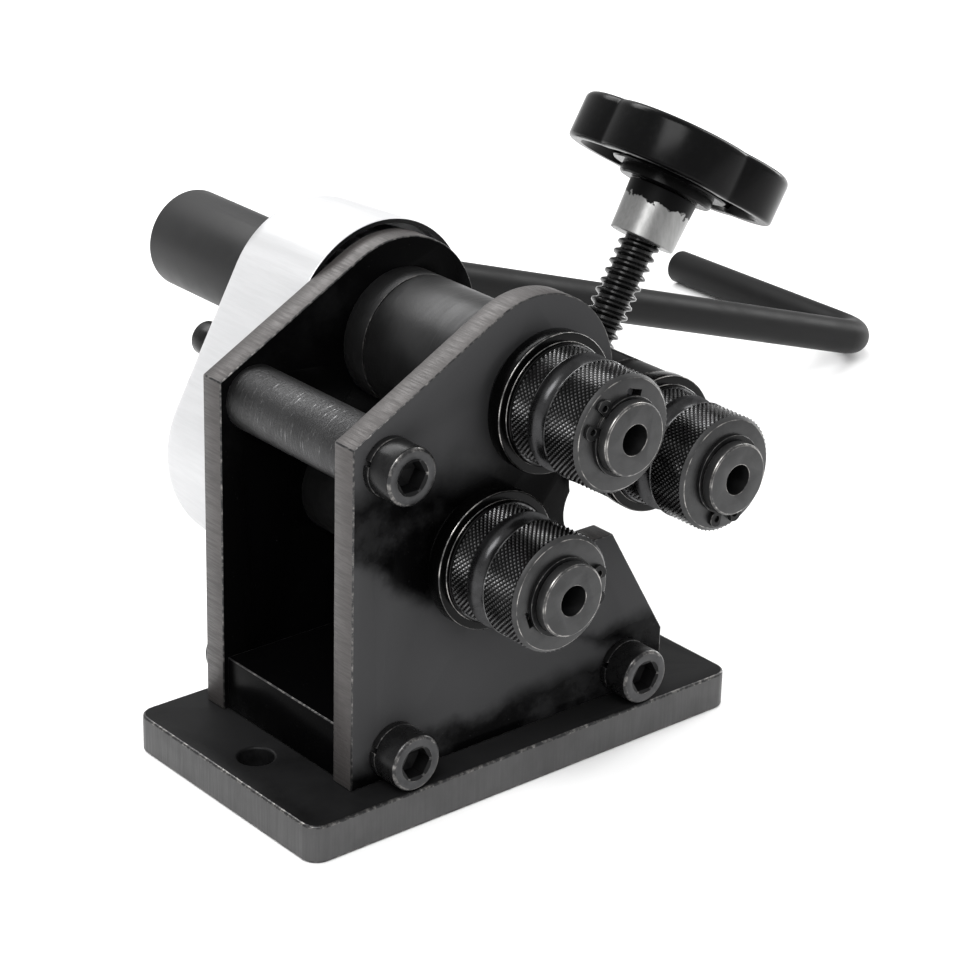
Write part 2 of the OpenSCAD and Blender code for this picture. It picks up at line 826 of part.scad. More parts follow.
module crank_hub() {
    pin_y = rear_y + pin_back;
    color(black_steel) difference() {
        on_axis(top) bar_y(hub_d / 2, hub_front_y, hub_end_y);
        on_axis(top) bar_y(shaft_r + seat_gap, hub_front_y - overrun,
                           hub_end_y - hub_wall_end + seat_gap);
        translate([top[0], pin_y, top[1] - hub_d])
            cylinder(r = pin_r + seat_gap, h = 2 * hub_d);
        on_crank() translate([-rod_tail - seat_gap, 0, 0]) rotate([0, 90, 0])
            cylinder(r = rod_d / 2 + seat_gap, h = rod_tail + hub_d);
        on_axis(top) bar_y(rod_pin_r + seat_gap, hub_end_y - rod_pin_len - seat_gap,
                           hub_end_y + overrun);
    }
}

module crank_shaft_pin() {
    pin_y = rear_y + pin_back;
    pin_half = hub_d / 2 - pin_inset;
    color(bare_steel) translate([top[0], pin_y, top[1] - pin_half])
        cylinder(r = pin_r, h = 2 * pin_half);
}

// The bent rod: a straight arm, a round elbow, and the grip that runs away from the plates
module crank_rod() {
    elbow_turn = 90 - crank_aim;
    elbow_cut = elbow_r * tan(elbow_turn / 2);
    color(black_steel) difference() {
        on_crank() {
            translate([-rod_tail, 0, 0]) rotate([0, 90, 0])
                cylinder(d = rod_d, h = rod_tail + crank_len - elbow_cut);
            translate([crank_len - elbow_cut, elbow_r, 0]) rotate([0, 0, -90 - elbow_lap])
                rotate_extrude(angle = elbow_turn + 2 * elbow_lap)
                    translate([elbow_r, 0]) circle(r = rod_d / 2 - 2 * seat_gap);
            translate([crank_len, 0, 0]) rotate([0, 0, elbow_turn])
                translate([elbow_cut, 0, 0]) rotate([0, 90, 0])
                    cylinder(d = rod_d, h = grip_len - elbow_cut);
        }
        on_axis(top) bar_y(rod_pin_r + seat_gap, hub_end_y - rod_pin_len - overrun,
                           hub_end_y + overrun);
    }
}

module crank_rod_pin() {
    color(bare_steel) on_axis(top)
        bar_y(rod_pin_r, hub_end_y - rod_pin_len, hub_end_y - seat_gap);
}

low_shaft_end_y = gear_clip_y + 2 * clip_t;

module lower_shaft() {
    color(dark_steel) on_axis(low) geared_shaft(low_shaft_end_y, low_key_angle);
}

module lower_roll() {
    color(dark_steel) on_axis(low) roll(low_key_angle);
}

module lower_roll_key() {
    color(bare_steel) on_axis(low) key(low_key_angle, roll_key_front_y, roll_key_back_y, 0);
}

module lower_circlip() {
    color(dark_steel) on_axis(low) translate([0, roll_clip_y, 0]) circlip(low_clip_angle);
}

module driven_gear() {
    color(bare_steel) on_axis(low) gear(lower_angle + 180 + 180 / gear_teeth);
}

module driven_gear_key() {
    color(bare_steel) on_axis(low) gear_key();
}

module driven_gear_circlip() {
    color(dark_steel) on_axis(low) translate([0, gear_clip_y, 0]) circlip(gear_key_angle);
}

idle_bush_end_y = idle_shaft_end_y + free_gap;
idle_flange_t = roll_standoff - boss_nose - free_gap;

// The arm between the plates, its idle end standing out through the front plate's notch
module swing_arm() {
    boss_r = boss_d / 2;
    web_side = (boss_r - web_inset) * [-sin(idle_angle), cos(idle_angle)];
    color(black_steel) difference() {
        union() {
            on_axis(top) bar_y(boss_r, arm_front_y, arm_rear_y);
            on_axis(idle) bar_y(boss_r, boss_front_y, arm_rear_y);
            slab_y(arm_front_y, arm_rear_y)
                polygon([top + web_side, top - web_side, idle - web_side, idle + web_side]);
        }
        on_axis(top) bar_y(sleeve_d / 2 + run_gap, boss_front_y, arm_rear_y + overrun);
        on_axis(idle) bar_y(bush_r + seat_gap, boss_front_y - overrun,
                            idle_bush_end_y + seat_gap);
        on_screw() translate([0, 0, -boss_d]) cylinder(r = screw_d / 2 + run_gap, h = 2 * boss_d);
        on_axis(idle) aim(idle_angle) translate([0, keeper_y, 0]) rotate([0, 90, 0])
            cylinder(r = keeper_r + seat_gap, h = boss_d);
    }
}

module idle_bush() {
    color(dark_steel) on_axis(idle) difference() {
        bush(boss_front_y - idle_flange_t, boss_front_y, idle_bush_end_y, bush_flange_r);
        aim(idle_angle) translate([0, keeper_y, 0]) rotate([0, 90, 0])
            cylinder(r = keeper_dog_r + run_gap, h = boss_d);
    }
}

// A dog-point screw from the side, whose tip runs in a groove and keeps the idle shaft in
module shaft_keeper_screw() {
    tip = shaft_r - keeper_groove_depth + free_gap;
    out = boss_d / 2 - keeper_inset;
    wide = bush_r + free_gap;
    color(dark_steel) on_axis(idle) aim(idle_angle) translate([0, keeper_y, 0])
        rotate([0, 90, 0]) {
            translate([0, 0, tip]) cylinder(r = keeper_dog_r, h = wide - tip);
            translate([0, 0, wide]) cylinder(r = keeper_r, h = out - wide);
        }
}

module idle_shaft() {
    color(dark_steel) on_axis(idle) difference() {
        shaft_front(idle_shaft_end_y, idle_key_angle);
        difference() {
            bar_y(shaft_r + overrun, keeper_y - keeper_groove_w / 2,
                  keeper_y + keeper_groove_w / 2);
            bar_y(shaft_r - keeper_groove_depth, keeper_y - keeper_groove_w,
                  keeper_y + keeper_groove_w);
        }
    }
}

module idle_roll() {
    color(dark_steel) on_axis(idle) roll(idle_key_angle);
}

module idle_roll_key() {
    color(bare_steel) on_axis(idle) key(idle_key_angle, roll_key_front_y, roll_key_back_y, 0);
}

module idle_circlip() {
    color(dark_steel) on_axis(idle) translate([0, roll_clip_y, 0]) circlip(idle_clip_angle);
}

// The domed pad on the screw's end, which slides on the anvil block as the arm swings
module thrust_pad() {
    color(bare_steel) on_screw() difference() {
        intersection() {
            translate([0, 0, -tip_reach]) cylinder(r = pad_r, h = pad_h);
            translate([0, 0, -tip_reach + pad_dome_r]) sphere(pad_dome_r);
        }
        translate([0, 0, -tip_reach + pad_h - pad_bore_depth])
            cylinder(r = spigot_r + run_gap, h = pad_bore_depth + overrun);
    }
}

// Turned outline of the thread as parallel ridges, from a start height up
module thread_outline(start, count) {
    crest_r = screw_d / 2;
    flank = screw_pitch / 5;
    polygon(concat(
        [[0, start], [screw_core_r, start]],
        [for (i = [0 : count - 1]) let (z = start + i * screw_pitch) each [
            [screw_core_r, z + flank], [crest_r, z + 2 * flank], [crest_r, z + 3 * flank],
            [screw_core_r, z + 4 * flank]
        ]],
        [[screw_core_r, start + count * screw_pitch], [0, start + count * screw_pitch]]
    ));
}

module jack_screw() {
    start = -tip_reach + pad_h + free_gap;
    count = floor((insert_reach - start) / screw_pitch);
    shank_top = insert_reach + screw_top_inside;
    color(black_steel) on_screw() difference() {
        union() {
            translate([0, 0, start - spigot_len]) cylinder(r = spigot_r, h = spigot_len);
            rotate_extrude() thread_outline(start, count);
            translate([0, 0, start]) cylinder(r = screw_core_r, h = shank_top - start);
        }
        knob_pin_hole(seat_gap);
    }
}

module knob_pin_hole(grow) {
    translate([0, insert_d, insert_reach + insert_show / 4]) rotate([90, 0, 0])
        cylinder(r = knob_pin_r + grow, h = 2 * insert_d);
}

// The knob's metal insert: a bare collar below, a slimmer shank up inside the knob
module knob_insert() {
    shank_top = insert_reach + screw_top_inside;
    color(cast_metal) on_screw() difference() {
        union() {
            translate([0, 0, insert_reach]) cylinder(d = insert_d, h = insert_show);
            translate([0, 0, insert_reach]) cylinder(r = insert_shank_r,
                                                     h = screw_top_inside);
        }
        translate([0, 0, insert_reach - overrun])
            cylinder(r = screw_core_r + seat_gap, h = screw_top_inside + 2 * overrun);
        knob_pin_hole(seat_gap);
    }
}

module knob_pin() {
    half = insert_d / 2 - knob_pin_inset;
    color(bare_steel) on_screw() translate([0, half, insert_reach + insert_show / 4])
        rotate([90, 0, 0]) cylinder(r = knob_pin_r, h = 2 * half);
}

// The knob: a lobed disc rounded at the top, hollow below with ribs, and a collar on the insert
module hand_knob() {
    lobe_out = knob_d / 2 - knob_lobe_r;
    half = 180 / knob_lobes;
    valley_r = lobe_out * cos(half)
        + sqrt(knob_lobe_r * knob_lobe_r - pow(lobe_out * sin(half), 2));
    pocket_r = valley_r - knob_wall;
    base_z = insert_reach + insert_show;
    rim_z = base_z + collar_h;
    top_z = rim_z + knob_h;
    edge_r = 3;
    lip_r = 1.2;
    rib_w = 2.4;
    bore_h = screw_top_inside - insert_show + free_gap;
    color(gloss_black) on_screw() difference() {
        union() {
            difference() {
                for (i = [0 : knob_lobes - 1]) rotate(knob_rest + 2 * half * i)
                    translate([lobe_out, 0, 0]) rotate_extrude() {
                        polygon([
                            [0, rim_z], [knob_lobe_r - lip_r, rim_z],
                            [knob_lobe_r, rim_z + lip_r], [knob_lobe_r, top_z - edge_r],
                            [knob_lobe_r - edge_r, top_z], [0, top_z]
                        ]);
                        translate([knob_lobe_r - edge_r, top_z - edge_r]) circle(edge_r);
                    }
                translate([0, 0, rim_z - overrun])
                    cylinder(r = pocket_r, h = knob_h - knob_wall + overrun);
            }
            translate([0, 0, base_z]) cylinder(r = collar_r, h = knob_h);
            for (i = [0 : knob_lobes - 1]) rotate(knob_rest + half + 2 * half * i)
                translate([collar_r / 2, -rib_w / 2, rim_z + lip_r])
                    cube([pocket_r - collar_r / 2 + overrun, rib_w, knob_h - knob_wall]);
        }
        translate([0, 0, base_z - overrun])
            cylinder(r = insert_shank_r + seat_gap, h = bore_h + overrun);
    }
}

base_plate();
bottom_block();
base_screws();
front_plate();
rear_plate();
corner_spacer();
front_cap_screws();
rear_cap_screws();
front_lock_washers();
rear_lock_washers();
anvil_block();
pivot_sleeve();
rear_collar();
top_bushes();
lower_spacer_tube();
lower_bushes();
gear_cover();
cover_screws();
top_shaft();
top_roll();
top_roll_key();
top_circlip();
drive_gear();
drive_gear_key();
drive_gear_circlip();
crank_hub();
crank_shaft_pin();
crank_rod();
crank_rod_pin();
lower_shaft();
lower_roll();
lower_roll_key();
lower_circlip();
driven_gear();
driven_gear_key();
driven_gear_circlip();
swing_arm();
idle_bush();
shaft_keeper_screw();
idle_shaft();
idle_roll();
idle_roll_key();
idle_circlip();
thrust_pad();
jack_screw();
knob_insert();
knob_pin();
hand_knob();
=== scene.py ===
"""The looks of a bench ring roller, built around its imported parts.

Each operator makes one piece, or a group of like pieces, and can be run by itself from the
panel. Lengths are in metres. The rolls face -Y, the crank is at +Y, and the base lies on Z = 0.
"""

import json
import math

import bmesh
import bpy
from mathutils import Matrix, Vector

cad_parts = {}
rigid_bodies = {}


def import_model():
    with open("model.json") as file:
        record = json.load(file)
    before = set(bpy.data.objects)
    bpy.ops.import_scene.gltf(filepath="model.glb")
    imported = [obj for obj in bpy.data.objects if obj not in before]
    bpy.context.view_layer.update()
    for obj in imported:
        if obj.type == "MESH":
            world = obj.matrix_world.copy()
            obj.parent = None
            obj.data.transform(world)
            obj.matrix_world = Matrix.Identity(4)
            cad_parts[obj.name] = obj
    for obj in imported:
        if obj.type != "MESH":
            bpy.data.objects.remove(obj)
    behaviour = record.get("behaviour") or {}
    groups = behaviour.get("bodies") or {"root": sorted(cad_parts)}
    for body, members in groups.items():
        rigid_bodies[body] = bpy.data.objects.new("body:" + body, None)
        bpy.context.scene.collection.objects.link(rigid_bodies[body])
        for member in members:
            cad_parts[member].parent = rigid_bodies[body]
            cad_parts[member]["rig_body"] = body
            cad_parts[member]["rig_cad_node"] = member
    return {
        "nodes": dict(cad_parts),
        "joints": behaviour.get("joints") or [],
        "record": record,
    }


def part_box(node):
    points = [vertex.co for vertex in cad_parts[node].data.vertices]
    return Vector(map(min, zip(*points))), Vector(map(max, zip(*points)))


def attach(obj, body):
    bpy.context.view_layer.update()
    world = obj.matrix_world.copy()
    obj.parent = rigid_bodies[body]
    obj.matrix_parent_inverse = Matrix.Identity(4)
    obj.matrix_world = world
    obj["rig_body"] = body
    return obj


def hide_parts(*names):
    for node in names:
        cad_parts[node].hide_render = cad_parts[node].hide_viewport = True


bl_info = {
    "name": "Bench Ring Roller",
    "version": (1, 0, 0),
    "blender": (4, 5, 0),
    "location": "3D View > Sidebar > Ring Roller",
    "description": "Builds the pieces, finishes and studio of a hand-cranked ring roller",
    "category": "Object",
}

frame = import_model()
NODES = frame["nodes"]
JOINTS = {joint["name"]: joint for joint in frame["joints"]}
BODIES = {
    node: body
    for body, members in frame["record"]["behaviour"]["bodies"].items()
    for node in members
}

MM = 0.001
UP_Y = Vector((0, 1, 0))
TOP = Vector(JOINTS["crank_turn"]["pos_m"])
LOW = Vector(JOINTS["lower_turn"]["pos_m"])
IDLE = Vector(JOINTS["idle_turn"]["pos_m"])
SCREW_FOOT = Vector(JOINTS["knob_turn"]["pos_m"])
SCREW_UP = -Vector(JOINTS["knob_turn"]["axis"])
CENTRES = {"top": TOP, "lower": LOW, "idle": IDLE}
COVER_TOP_R = 30.5 * MM
COVER_LOW_R = 33.0 * MM
CRANK_REACH = 329.5 * MM
CRANK_SPLAY = 11.5 * MM
CRANK_BEND = 18.0 * MM
BORE_R = 10.02 * MM
MERGE_GAP = 0.002 * MM
SMOOTH_BELOW = 30.0
FLOOR_DROP = 0.05 * MM
CAMERA_PLACE = (-0.457531, -0.552461, 0.386004)
CAMERA_TURN = (66.62726, -1.404722, -39.827147)
CAMERA_LENS = 106.956
LIGHTS_AIM = Vector((0.02, 0.0, 0.07))


# ---------------------------------------------------------------- sizes and colours


def length(name, description, default, low=0.0):
    """A length that the panel shows in the scene's units."""
    return bpy.props.FloatProperty(
        name=name, description=description, default=default, min=low, unit="LENGTH",
        precision=5)


def colour(name, description, default):
    """A colour that the panel shows as a swatch."""
    return bpy.props.FloatVectorProperty(
        name=name, description=description, default=default, min=0.0, max=1.0,
        subtype="COLOR")


class RollerSizes(bpy.types.PropertyGroup):
    """Sizes of the details that only the looks have."""

    edge_round: length("Edge rounding", "Rounding of the plates' and bars' edges", 0.35 * MM)
    fine_round: length("Fine rounding", "Rounding of small pieces' edges", 0.2 * MM)
    knurls: bpy.props.IntProperty(
        name="Knurls", description="Diamonds around each roll", default=66, min=24)
    knurl_depth: length("Knurl depth", "Depth of the diamonds' grooves", 0.45 * MM)
    thread_pitch: length("Thread pitch", "Rise of the jack screw in one turn", 3.0 * MM)
    thread_depth: length("Thread depth", "Depth of the jack screw's thread", 1.4 * MM)
    knob_lobe_r: length("Knob lobe radius", "Radius of each lobe's arc", 21.8 * MM)
    knob_crease: bpy.props.FloatProperty(
        name="Knob crease", description="Half the turn over which two lobes are blended",
        default=math.radians(0.9), subtype="ANGLE")
    knob_lobes: bpy.props.IntProperty(
        name="Knob lobes", description="Lobes around the knob", default=4, min=3)
    knob_turn: bpy.props.FloatProperty(
        name="Knob turn", description="How far the lobes stand turned around the screw",
        default=math.radians(82.0), subtype="ANGLE")
    cover_round: length("Cover rounding", "Rounding of the gear cover's back edge", 6.0 * MM)
    ring_segments: bpy.props.IntProperty(
        name="Ring segments", description="Steps around a turned piece", default=128, min=24)


class RollerFinishes(bpy.types.PropertyGroup):
    """Colours of the finishes."""

    blackened: colour("Blackened steel", "The plates' faces", (0.0012, 0.0012, 0.0013))
    # This colour also paints the front plate's painted reflection of the floor.
    blackened_light: colour("Thin black", "Where the black is thin", (0.036, 0.036, 0.037))
    rim: colour("Cut edges", "The plates' machined edges", (0.062, 0.057, 0.0556))
    side: colour("Base sides", "The base's machined sides", (0.062, 0.0615, 0.062))
    bare: colour("Worn metal", "Corners worn bright", (0.52, 0.50, 0.48))
    roll: colour("Roll steel", "The rolls' dark steel", (0.012, 0.012, 0.0122))
    face: colour("Roll faces", "Faces of rolls and shafts", (0.044, 0.044, 0.0445))
    cover: colour("Cover metal", "The gear cover", (0.57, 0.572, 0.58))
    # The rod's black is a darker copy of the hub's, as painted shade against the light that falls
    # on its top.
    crank: colour("Crank", "The crank's hub", (0.016, 0.016, 0.0163))
    rod: colour("Crank rod", "The crank's bent rod", (0.0060, 0.0060, 0.0061))
    knob: colour("Knob", "The knob's moulded plastic", (0.0012, 0.0012, 0.0013))
    zinc: colour("Plated insert", "The knob's plated insert", (0.26, 0.26, 0.257))
    floor: colour("Floor", "The studio floor", (0.93, 0.93, 0.93))


# ---------------------------------------------------------------- node trees


def add(tree, kind, settings=None, inputs=None):
    """Adds a node, sets its options, and feeds its sockets with values or links."""
    node = tree.nodes.new(kind)
    for key, value in (settings or {}).items():
        setattr(node, key, value)
    for key, value in (inputs or {}).items():
        if isinstance(value, bpy.types.NodeSocket):
            tree.links.new(value, node.inputs[key])
        else:
            node.inputs[key].default_value = value
    return node


def math_of(tree, operation, first, second=0.0):
    """A Math node's result."""
    node = add(tree, "ShaderNodeMath", {"operation": operation}, {0: first, 1: second})
    return node.outputs[0]


def vector_of(tree, operation, first, second=None):
    """A Vector Math node's outputs."""
    inputs = {0: first} if second is None else {0: first, 1: second}
    return add(tree, "ShaderNodeVectorMath", {"operation": operation}, inputs).outputs


def smooth_step(tree, value, low, high, to_low=0.0, to_high=1.0):
    """Maps a value between two limits, smoothly."""
    node = add(tree, "ShaderNodeMapRange", {"interpolation_type": "SMOOTHSTEP"}, {
        "Value": value, "From Min": low, "From Max": high, "To Min": to_low,
        "To Max": to_high})
    return node.outputs["Result"]


def object_point(tree):
    """The shaded point in the piece's own coordinates."""
    return add(tree, "ShaderNodeTexCoord").outputs["Object"]


def new_group(name, inputs, outputs):
    """An empty shader group with named sockets, and its input and output nodes."""
    group = bpy.data.node_groups.new(name, "ShaderNodeTree")
    for socket, kind, default in inputs:
        made = group.interface.new_socket(name=socket, in_out="INPUT", socket_type=kind)
        made.default_value = default
    for socket, kind in outputs:
        group.interface.new_socket(name=socket, in_out="OUTPUT", socket_type=kind)
    return group, add(group, "NodeGroupInput").outputs, add(group, "NodeGroupOutput")


FLOAT = "NodeSocketFloat"
VECTOR = "NodeSocketVector"


def patches_group():
    """Irregular patches: Size is how many there are to a metre, Coverage their share."""
    group, given, out = new_group(
        "Worn patches",
        [("Size", FLOAT, 200.0), ("Coverage", FLOAT, 0.4), ("Softness", FLOAT, 0.1)],
        [("Mask", FLOAT)])
    noise = add(group, "ShaderNodeTexNoise", inputs={
        "Vector": object_point(group), "Scale": given["Size"], "Detail": 6.0,
        "Roughness": 0.62})
    middle = math_of(group, "SUBTRACT", 1.0, given["Coverage"])
    low = math_of(group, "SUBTRACT", middle, given["Softness"])
    high = math_of(group, "ADD", middle, given["Softness"])
    mask = smooth_step(group, noise.outputs["Fac"], low, high)
    group.links.new(mask, out.inputs["Mask"])
    return group


def lines_group():
    """Drawn lines: Stretch is how many lines there are to a metre along each axis."""
    group, given, out = new_group(
        "Drawn lines", [("Stretch", VECTOR, (900.0, 60.0, 900.0))],
        [("Lines", FLOAT), ("Strong", FLOAT)])
    stretched = vector_of(group, "MULTIPLY", object_point(group), given["Stretch"])
    noise = add(group, "ShaderNodeTexNoise", inputs={
        "Vector": stretched[0], "Scale": 1.0, "Detail": 4.0, "Roughness": 0.7})
    lines = smooth_step(group, noise.outputs["Fac"], 0.32, 0.68)
    strong = smooth_step(group, noise.outputs["Fac"], 0.60, 0.70)
    group.links.new(lines, out.inputs["Lines"])
    group.links.new(strong, out.inputs["Strong"])
    return group


def turning_group():
    """Fine rings around a Y axis through Centre, Rings to a metre of radius."""
    group, given, out = new_group(
        "Turning marks", [("Centre", VECTOR, (0.0, 0.0, 0.0)), ("Rings", FLOAT, 4000.0)],
        [("Marks", FLOAT), ("Radius", FLOAT)])
    shift = vector_of(group, "SUBTRACT", object_point(group), given["Centre"])
    flat = vector_of(group, "MULTIPLY", shift[0], (1.0, 0.0, 1.0))
    radius = vector_of(group, "LENGTH", flat[0])["Value"]
    noise = add(group, "ShaderNodeTexNoise", {"noise_dimensions": "1D"}, {
        "W": math_of(group, "MULTIPLY", radius, given["Rings"]), "Scale": 1.0,
        "Detail": 3.0})
    group.links.new(noise.outputs["Fac"], out.inputs["Marks"])
    group.links.new(radius, out.inputs["Radius"])
    return group


def group_for(name, build):
    """The named group, built the first time that it is needed."""
    return bpy.data.node_groups.get(name) or build()


def put_group(tree, name, build, inputs):
    """Places a shared group in a material."""
    node = add(tree, "ShaderNodeGroup", {"node_tree": group_for(name, build)}, inputs)
    return node.outputs


def patches(tree, size, coverage, softness=0.1):
    inputs = {"Size": size, "Coverage": coverage, "Softness": softness}
    return put_group(tree, "Worn patches", patches_group, inputs)["Mask"]


def lines(tree, stretch):
    return put_group(tree, "Drawn lines", lines_group, {"Stretch": stretch})


def turning(tree, centre, rings):
    return put_group(tree, "Turning marks", turning_group, {"Centre": centre, "Rings": rings})


def blend(tree, mask, low, high):
    """Mixes two colours by a mask."""
    node = add(tree, "ShaderNodeMix", {"data_type": "RGBA"}, {0: mask})
    for index, value in ((6, low), (7, high)):
        if isinstance(value, bpy.types.NodeSocket):
            tree.links.new(value, node.inputs[index])
        else:
            node.inputs[index].default_value = (*value, 1.0)
    return node.outputs[2]


def bump(tree, height, depth, under=None):
    """A Bump node's normal; depth is in metres."""
    inputs = {"Height": height, "Strength": 1.0, "Distance": depth}
    if under is not None:
        inputs["Normal"] = under
    return add(tree, "ShaderNodeBump", inputs=inputs).outputs["Normal"]


def colours():
    """The colours that the panel holds."""
    return bpy.context.scene.roller_finishes


def finish(name, constants):
    """A new material with a Principled shader whose constants are set on its own sockets."""
    made = bpy.data.materials.new(name)
    made.use_nodes = True
    shader = made.node_tree.nodes["Principled BSDF"]
    for key, value in constants.items():
        shader.inputs[key].default_value = value
    return made, made.node_tree, shader


def feed(tree, shader, **sockets):
    """Links values to the shader: base, rough and normal."""
    names = {"base": "Base Color", "rough": "Roughness", "normal": "Normal",
             "metal": "Metallic"}
    for key, value in sockets.items():
        tree.links.new(value, shader.inputs[names[key]])


def tinted(value, factor):
    """A colour made lighter or darker."""
    return tuple(min(1.0, channel * factor) for channel in value)


# ---------------------------------------------------------------- finishes


def black_plate(name, coverage, thin_black, gloss, painted_reflection=None):
    """Oiled black plate with faint marks, mottled where the black is thin. A function may be
    given that adds a painted reflection, in the same lighter colour, at set places on the piece."""
    tones = colours()
    made, tree, shader = finish(name, {"Metallic": 0.0, "Specular IOR Level": gloss})
    mottle = patches(tree, 17.0, coverage, 0.24)
    if painted_reflection:
        mottle = painted_reflection(tree, mottle)
    dust = patches(tree, 1500.0, 0.29, 0.03)
    marks = lines(tree, (420.0, 420.0, 40.0))
    base = blend(tree, mottle, tones.blackened, thin_black)
    base = blend(tree, dust, base, tinted(thin_black, 1.4))
    rough = smooth_step(tree, mottle, 0.0, 1.0, 0.26, 0.40)
    feed(tree, shader, base=base, rough=rough,
         normal=bump(tree, marks["Lines"], 0.000004))
    return made


def blackened_steel():
    light = colours().blackened_light
    return black_plate("blackened_steel", 0.30, tinted(light, 0.5), 0.02)


def base_black():
    light = colours().blackened_light
    return black_plate("base_black", 0.62, tinted(light, 0.33), 0.03)


def front_black():
    """The front plate's face, with a painted reflection of the floor: the black is painted
    lighter in a wedge over its foot, beside the notch and over the top roll."""

    def painted_reflection(tree, mottle):
        # Painted reflection of the floor: lighter in the wedge, beside the notch and above, with
        # random patches smeared over it.
        place = add(tree, "ShaderNodeSeparateXYZ", inputs={0: object_point(tree)}).outputs
        wander = smooth_step(tree, mottle, 0.0, 1.0, 4.0 * MM, -4.0 * MM)
        height = math_of(tree, "ADD", place["Z"], wander)
        slope = math_of(tree, "ADD", height, math_of(tree, "MULTIPLY", place["X"], 0.56))
        wedge = math_of(tree, "MULTIPLY",
                        smooth_step(tree, slope, 41.0 * MM, 49.0 * MM, 1.0, 0.0),
                        smooth_step(tree, height, 15.0 * MM, 24.0 * MM))
        beside = math_of(tree, "MULTIPLY", smooth_step(tree, place["X"], 16.0 * MM, 28.0 * MM),
                         smooth_step(tree, height, 26.0 * MM, 34.0 * MM))
        above = smooth_step(tree, height, 88.0 * MM, 104.0 * MM)
        whole = math_of(tree, "MAXIMUM", wedge, math_of(tree, "MAXIMUM", beside, above))
        smear = smooth_step(tree, patches(tree, 32.0, 0.42, 0.14), 0.0, 1.0, 0.0, 0.35)
        return math_of(tree, "MAXIMUM", whole, smear)

    light = colours().blackened_light
    # The lighter colour of the painted reflection and of the mottling.
    return black_plate("front_black", 0.5, tinted(light, 1.15), 0.02, painted_reflection)


def mottled(name, constants, patch, low, high, rough, relief=None):
    """A finish of two colours and two roughnesses that one kind of patches mixes. The relief
    tells its own patches and their depth."""
    made, tree, shader = finish(name, constants)
    mask = patches(tree, *patch)
    feed(tree, shader, base=blend(tree, mask, low, high),
         rough=smooth_step(tree, mask, 0.0, 1.0, *rough))
    if relief:
        feed(tree, shader, normal=bump(tree, patches(tree, *relief[0]), relief[1]))
    return made


def drawn(name, constants, stretch, layers, rough, relief=None):
    """A finish with drawn lines. Its colours lie over one another: each layer tells a mask,
    which is a kind of line or of patches, and the colour that shows there, and the first one
    tells the colour below it too."""
    made, tree, shader = finish(name, constants)
    marks = lines(tree, stretch)
    base = None
    for mask, *ends in layers:
        mask = marks[mask] if isinstance(mask, str) else patches(tree, *mask)
        base = blend(tree, mask, *(ends if base is None else (base, *ends)))
    feed(tree, shader, base=base, rough=smooth_step(tree, marks["Lines"], 0.0, 1.0, *rough))
    if relief:
        feed(tree, shader, normal=bump(tree, marks["Lines"], relief))
    return made


def cut_rim():
    """The plates' sawn and milled edges: brownish grey with lines across."""
    rim = colours().rim
    return drawn("cut_rim", {"Metallic": 0.35}, (2100.0, 120.0, 2100.0), (
        ("Lines", tinted(rim, 0.85), tinted(rim, 1.18)),
        ((60.0, 0.42, 0.22), tinted(rim, 0.72)),
        ("Strong", tinted(rim, 0.66))), (0.55, 0.38), 0.00002)


def base_side():
    """The base's milled sides: dark grey with upright lines."""
    side = colours().side
    return drawn(
        "base_side", {"Metallic": 0.2, "Specular IOR Level": 0.3}, (1500.0, 1500.0, 60.0), (
            ("Lines", tinted(side, 0.92), tinted(side, 1.06)),
            ((90.0, 0.45, 0.2), tinted(side, 0.78))), (0.5, 0.38), 0.000004)


def turned_tube():
    """The arm's tube: satin dark steel with fine lines around it."""
    roll = colours().roll
    return drawn("turned_tube", {"Metallic": 0.75}, (60.0, 3200.0, 60.0), (
        ((70.0, 0.45, 0.25), tinted(roll, 2.4), tinted(roll, 1.2)),
        ("Strong", tinted(roll, 3.2))), (0.34, 0.44), 0.000006)


def brushed_bar():
    """The corner bar: rubbed bright by ragged strokes around it."""
    roll = colours().roll
    return drawn("brushed_bar", {"Metallic": 0.85}, (220.0, 1900.0, 220.0), (
        ((55.0, 0.5, 0.25), tinted(roll, 4.2), tinted(roll, 2.2)),
        ("Strong", tinted(colours().face, 4.5))), (0.44, 0.28), 0.00006)


def bare_steel():
    """Ground steel of gears, keys, the pad and the knob's pin."""
    bare = colours().bare
    return drawn("bare_steel", {"Metallic": 0.95}, (900.0, 60.0, 900.0),
                 (("Lines", tinted(bare, 0.85), bare),), (0.30, 0.42))


def worn_edge():
    """Corners where the black has worn through in places."""
    return mottled(
        "worn_edge", {"Metallic": 0.8}, (620.0, 0.40, 0.18),
        tinted(colours().blackened_light, 0.9), tinted(colours().bare, 0.42), (0.34, 0.30))


def rubbed_edge():
    """Thin corners of the rolls and shafts, rubbed bright."""
    return mottled(
        "rubbed_edge", {"Metallic": 0.9}, (260.0, 0.46, 0.14),
        tinted(colours().face, 1.2), tinted(colours().bare, 0.7), (0.36, 0.26))


def oiled_thread():
    """Oiled black screw thread."""
    roll = colours().roll
    return mottled("oiled_thread", {"Metallic": 0.65}, (500.0, 0.45, 0.15),
                   tinted(roll, 0.6), tinted(roll, 1.1), (0.18, 0.32))


def knob_plastic():
    """Glossy moulded plastic with the faintest waviness."""
    knob = colours().knob
    return mottled(
        "knob_plastic", {"Metallic": 0.0, "Specular IOR Level": 0.1}, (500.0, 0.4, 0.2),
        knob, tinted(knob, 1.8), (0.22, 0.28), ((90.0, 0.5, 0.4), 0.00001))


def matt_black(name, value, gloss):
    """Matt black with a fine grain."""
    return mottled(
        name, {"Metallic": 0.0, "Specular IOR Level": gloss}, (60.0, 0.45, 0.25),
        value, tinted(value, 1.45), (0.42, 0.52), ((1800.0, 0.5, 0.3), 0.000008))


